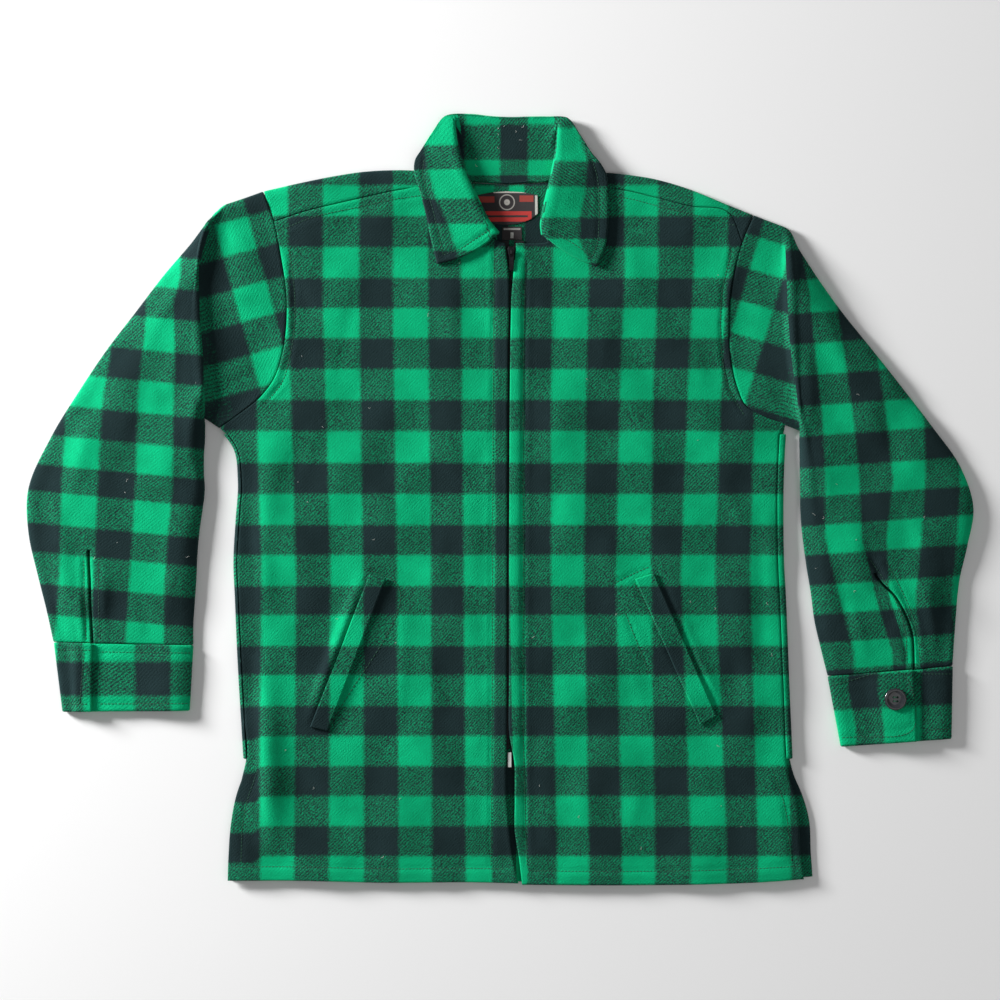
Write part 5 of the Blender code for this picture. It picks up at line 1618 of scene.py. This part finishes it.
class JACKET_OT_sewing(bpy.types.Operator):
    """Stitches on the fronts, sleeves and cuffs, and the fibres that cling to the nap."""

    bl_idname = "jacket.sewing"
    bl_label = "Sewing"

    def execute(self, context):
        sizes = context.scene.jacket_sewing
        pitch = sizes.stitch / MM
        radius = sizes.thread_radius / MM
        for name, pieces, table in (
            ("sewing_fronts", ("wool_front_left", "wool_front_right"), FRONT_SEWING),
            ("sewing_sleeves", ("wool_sleeve_left", "wool_sleeve_right"), SLEEVE_SEWING),
            ("sewing_cuffs", ("wool_cuff_left", "wool_cuff_right"), CUFF_SEWING),
            ("sewing_collar", ("wool_collar",), LEAF_SEWING),
        ):
            bits = []
            for piece in pieces:
                bits += sewing(bpy.data.objects[piece], table, pitch, radius)
            joined(name, bits, THREAD)
        rng = np.random.default_rng(7)
        bits = []
        for piece, low_x, low_y, high_x, high_y, count in LINT_FIELDS:
            obj = bpy.data.objects[piece]
            for _ in range(count):
                x, y = rng.uniform((low_x, low_y), (high_x, high_y))
                turn = rng.uniform(0, math.pi)
                bend = rng.uniform(-1.2, 1.2)
                reach = rng.uniform(0.7, 1.9)
                spots = []
                for t in np.linspace(-1, 1, 6):
                    aim = turn + bend * t
                    spots.append((x + reach * t * math.cos(aim), y + reach * t * math.sin(aim)))
                heights = [surface(obj, px, py) for px, py in spots]
                if None in heights:
                    continue
                lifted = np.array(heights) + 0.25
                bits.append(tube(raised(np.array(spots), lifted), 0.12, 4))
        joined("clinging_fibres", bits, LINT)
        return {"FINISHED"}


class JACKET_OT_zip(bpy.types.Operator):
    """Zip: woven tapes, interlocked teeth and the finishes of slider, pull tab and box."""

    bl_idname = "jacket.zip"
    bl_label = "Zip"

    def execute(self, context):
        ys = np.array(TAPE_ROWS, float)
        level = WALL + GAP + TAPE_WALL / 2
        for node, near, far in (
            ("zip_tape_left", -TAPE_OUT, -TAPE_IN), ("zip_tape_right", TAPE_IN, TAPE_OUT),
        ):
            plan = np.stack([np.stack([zip_x(ys) + k, ys], 1) for k in (near, far)], axis=1)
            obj = cloth("woven_" + node, node, raised(plan, level), TAPE_WALL, 3.0, plain_check, finish=TAPE)
        pitch = context.scene.jacket_sewing.tooth_pitch / MM
        long = (CHAIN_END - CHAIN_TOP) * STEP
        count = int(long / pitch)
        teeth = []
        for side in (-1, 1):
            tooth_row(side, pitch, count)
            teeth.append(bpy.context.object)
        bpy.ops.object.select_all(action="DESELECT")
        for obj in teeth:
            obj.select_set(True)
        bpy.context.view_layer.objects.active = teeth[0]
        bpy.ops.object.join()
        chain = bpy.context.object
        chain.name = "zip_teeth"
        for vert in chain.data.vertices:
            y = GRID_Y - vert.co.y / MM / STEP
            vert.co.x += lay(float(zip_x(y)), y)[0] * MM
        dress(chain, METAL, "zip_chain")
        # The box gets the pale finish: a painted glint.
        for node, finish in (("zip_slider", METAL), ("zip_pull", METAL), ("zip_box", ZIP_BOX_GLINT)):
            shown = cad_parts[node]
            shown.data.materials.clear()
            shown.data.materials.append(bpy.data.materials[finish])
        return {"FINISHED"}


def tooth_row(side, pitch, count):
    """One tooth as a bevelled block, repeated down its tape."""
    wide, deep, tall = 3.2, pitch * 0.46, 2.0
    start = (GRID_Y - CHAIN_TOP) * STEP - pitch * (0.5 if side > 0 else 1.0)
    bpy.ops.object.select_all(action="DESELECT")
    spot = (side * 0.75 * MM, start * MM, (WALL + GAP + tall / 2) * MM)
    bpy.ops.mesh.primitive_cube_add(size=1.0, location=spot)
    obj = bpy.context.object
    obj.dimensions = (wide * MM, deep * MM, tall * MM)
    bpy.ops.object.transform_apply(location=True, rotation=False, scale=True)
    edge = obj.modifiers.new("edge", "BEVEL")
    edge.width = 0.3 * MM
    edge.segments = 1
    bpy.ops.object.modifier_apply(modifier=edge.name)
    row = obj.modifiers.new("row", "ARRAY")
    row.count = count
    row.use_relative_offset = False
    row.use_constant_offset = True
    row.constant_offset_displace = (0.0, -pitch * MM, 0.0)
    bpy.ops.object.modifier_apply(modifier=row.name)


class JACKET_OT_button(bpy.types.Operator):
    """Four-hole button of the right cuff with its thread."""

    bl_idname = "jacket.button"
    bl_label = "Cuff button"

    def execute(self, context):
        x, y = lay(*BUTTON_AT)
        bpy.ops.object.select_all(action="DESELECT")
        bpy.ops.mesh.primitive_circle_add(
            vertices=72, radius=BUTTON_TURN[0][0] * MM, fill_type="NGON",
            location=(x * MM, y * MM, (BUTTON_LOW + BUTTON_TURN[0][1]) * MM))
        button = bpy.context.object
        button.name = "four_hole_button"
        bpy.ops.object.transform_apply(location=True, rotation=False, scale=False)
        bpy.ops.object.mode_set(mode="EDIT")
        bpy.ops.mesh.select_all(action="SELECT")
        centre = (x * MM, y * MM, 0.0)
        for (old, low), (radius, high) in zip(BUTTON_TURN, BUTTON_TURN[1:]):
            bpy.ops.mesh.extrude_region_move(
                TRANSFORM_OT_translate={"value": (0.0, 0.0, (high - low) * MM)})
            share = radius / old
            bpy.ops.transform.resize(value=(share, share, 1.0), center_override=centre)
        bpy.ops.mesh.select_all(action="SELECT")
        bpy.ops.mesh.normals_make_consistent(inside=False)
        bpy.ops.object.mode_set(mode="OBJECT")
        for sx, sy in ((-1, -1), (1, -1), (1, 1), (-1, 1)):
            bpy.ops.object.select_all(action="DESELECT")
            bpy.ops.mesh.primitive_cylinder_add(
                vertices=24, radius=HOLE_RADIUS * MM, depth=0.012,
                location=((x + sx * HOLE_OUT) * MM, (y + sy * HOLE_OUT) * MM, BUTTON_LOW * MM))
            drill = bpy.context.object
            cut = button.modifiers.new("hole", "BOOLEAN")
            cut.operation = "DIFFERENCE"
            cut.solver = "EXACT"
            cut.object = drill
            picked(button.name)
            bpy.ops.object.modifier_apply(modifier=cut.name)
            bpy.data.objects.remove(drill)
        picked(button.name)
        bpy.ops.object.shade_smooth_by_angle(angle=math.radians(40))
        dress(button, BUTTON, "cuff_button")
        bits = []
        low = BUTTON_LOW - 0.6
        top = BUTTON_LOW + 2.2
        for sy in (-1, 1):
            for shift in (-0.3, 0.3):
                py = y + sy * HOLE_OUT + shift
                line = [(x - HOLE_OUT, py, low), (x - HOLE_OUT, py, top - 0.7), (x - HOLE_OUT + 0.8, py, top),
                        (x, py, top + 0.15), (x + HOLE_OUT - 0.8, py, top), (x + HOLE_OUT, py, top - 0.7),
                        (x + HOLE_OUT, py, low)]
                bits.append(tube(line, 0.32, 8))
        joined("button_thread", bits, THREAD)
        return {"FINISHED"}


class JACKET_OT_labels(bpy.types.Operator):
    """Neck label and size tab with a plain woven pattern."""

    bl_idname = "jacket.labels"
    bl_label = "Labels"

    def execute(self, context):
        low = WALL + GAP + LABEL_WALL / 2
        for node, top, bottom in (
            ("neck_label", LABEL_TOP, LABEL_FOOT), ("size_tab", TAB_TOP, TAB_FOOT),
        ):
            shares = np.linspace(0, 1, 25)
            upper = np.stack([np.interp(shares, lengths(top), [p[k] for p in top]) for k in (0, 1)], 1)
            lower = np.stack([np.interp(shares, lengths(bottom), [p[k] for p in bottom]) for k in (0, 1)], 1)
            v = np.linspace(0, 1, 9)[:, None, None]
            plan = upper + v * (lower - upper)

            def check(x, y, r, c):
                wide = (x - top[0][0]) / (top[-1][0] - top[0][0])
                tall = (y - top[0][1]) / (LABEL_TALL if node == "neck_label" else TAB_TALL)
                return wide, tall + (0.0 if node == "neck_label" else 2.0)

            obj = cloth("woven_" + node, node, raised(plan, low), LABEL_WALL, 1.6, check, finish=LABEL)
        return {"FINISHED"}


class JACKET_OT_stage(bpy.types.Operator):
    """Floor, lights and camera."""

    bl_idname = "jacket.stage"
    bl_label = "Stage"

    def execute(self, context):
        bpy.ops.object.select_all(action="DESELECT")
        bpy.ops.mesh.primitive_plane_add(size=8.0, location=(0.0, 0.0, -0.0003))
        floor = bpy.context.object
        floor.name = "floor"
        finish_of("floor_pale", (0.90, 0.90, 0.90), 0.9)
        floor.data.materials.append(bpy.data.materials["floor_pale"])
        for name, spot, size, power in LIGHTS:
            data = bpy.data.lights.new(name, "AREA")
            data.shape = "SQUARE"
            data.size = size
            data.energy = power
            lamp = bpy.data.objects.new(name, data)
            lamp.location = spot
            aim = -lamp.location
            lamp.rotation_euler = aim.to_track_quat("-Z", "Y").to_euler()
            context.scene.collection.objects.link(lamp)
        world = bpy.data.worlds.new("studio")
        world.use_nodes = True
        world.node_tree.nodes["Background"].inputs["Color"].default_value = (1.0, 1.0, 1.0, 1.0)
        world.node_tree.nodes["Background"].inputs["Strength"].default_value = WORLD_LIGHT
        context.scene.world = world
        data = bpy.data.cameras.new("camera")
        data.sensor_width = 36.0
        data.lens = 36.0 * (CAMERA_HIGH - 0.008) / (1000 * STEP * MM)
        camera = bpy.data.objects.new("camera", data)
        x, y = lay(500, 500)
        camera.location = (x * MM, y * MM, CAMERA_HIGH)
        context.scene.collection.objects.link(camera)
        context.scene.camera = camera
        context.scene.view_settings.view_transform = "Standard"
        return {"FINISHED"}


class JACKET_PT_panel(bpy.types.Panel):
    """Lists the operators and sizes."""

    bl_idname = "JACKET_PT_panel"
    bl_label = "Shirt-jacket"
    bl_space_type = "VIEW_3D"
    bl_region_type = "UI"
    bl_category = "Jacket"

    def draw(self, context):
        for group in (context.scene.jacket_wool, context.scene.jacket_sewing):
            for name in group.__annotations__:
                self.layout.prop(group, name)
        for operator in OPERATORS:
            self.layout.operator(operator.bl_idname)


OPERATORS = (
    JACKET_OT_stage, JACKET_OT_finishes, JACKET_OT_back, JACKET_OT_fronts, JACKET_OT_sleeves,
    JACKET_OT_cuffs, JACKET_OT_collar, JACKET_OT_welts, JACKET_OT_zip, JACKET_OT_button,
    JACKET_OT_labels, JACKET_OT_sewing,
)
GROUPS = (JACKET_PG_wool, JACKET_PG_sewing)


def register():
    """Registers the classes and the scene's settings."""
    for cls in (*GROUPS, *OPERATORS, JACKET_PT_panel):
        bpy.utils.register_class(cls)
    bpy.types.Scene.jacket_wool = bpy.props.PointerProperty(type=JACKET_PG_wool)
    bpy.types.Scene.jacket_sewing = bpy.props.PointerProperty(type=JACKET_PG_sewing)


def unregister():
    """Takes the classes and the settings away."""
    del bpy.types.Scene.jacket_sewing
    del bpy.types.Scene.jacket_wool
    for cls in reversed((*GROUPS, *OPERATORS, JACKET_PT_panel)):
        bpy.utils.unregister_class(cls)


def main():
    """Builds every piece in order."""
    register()
    for operator in OPERATORS:
        group, name = operator.bl_idname.split(".")
        getattr(getattr(bpy.ops, group), name)()


if __name__ == "__main__":
    main()
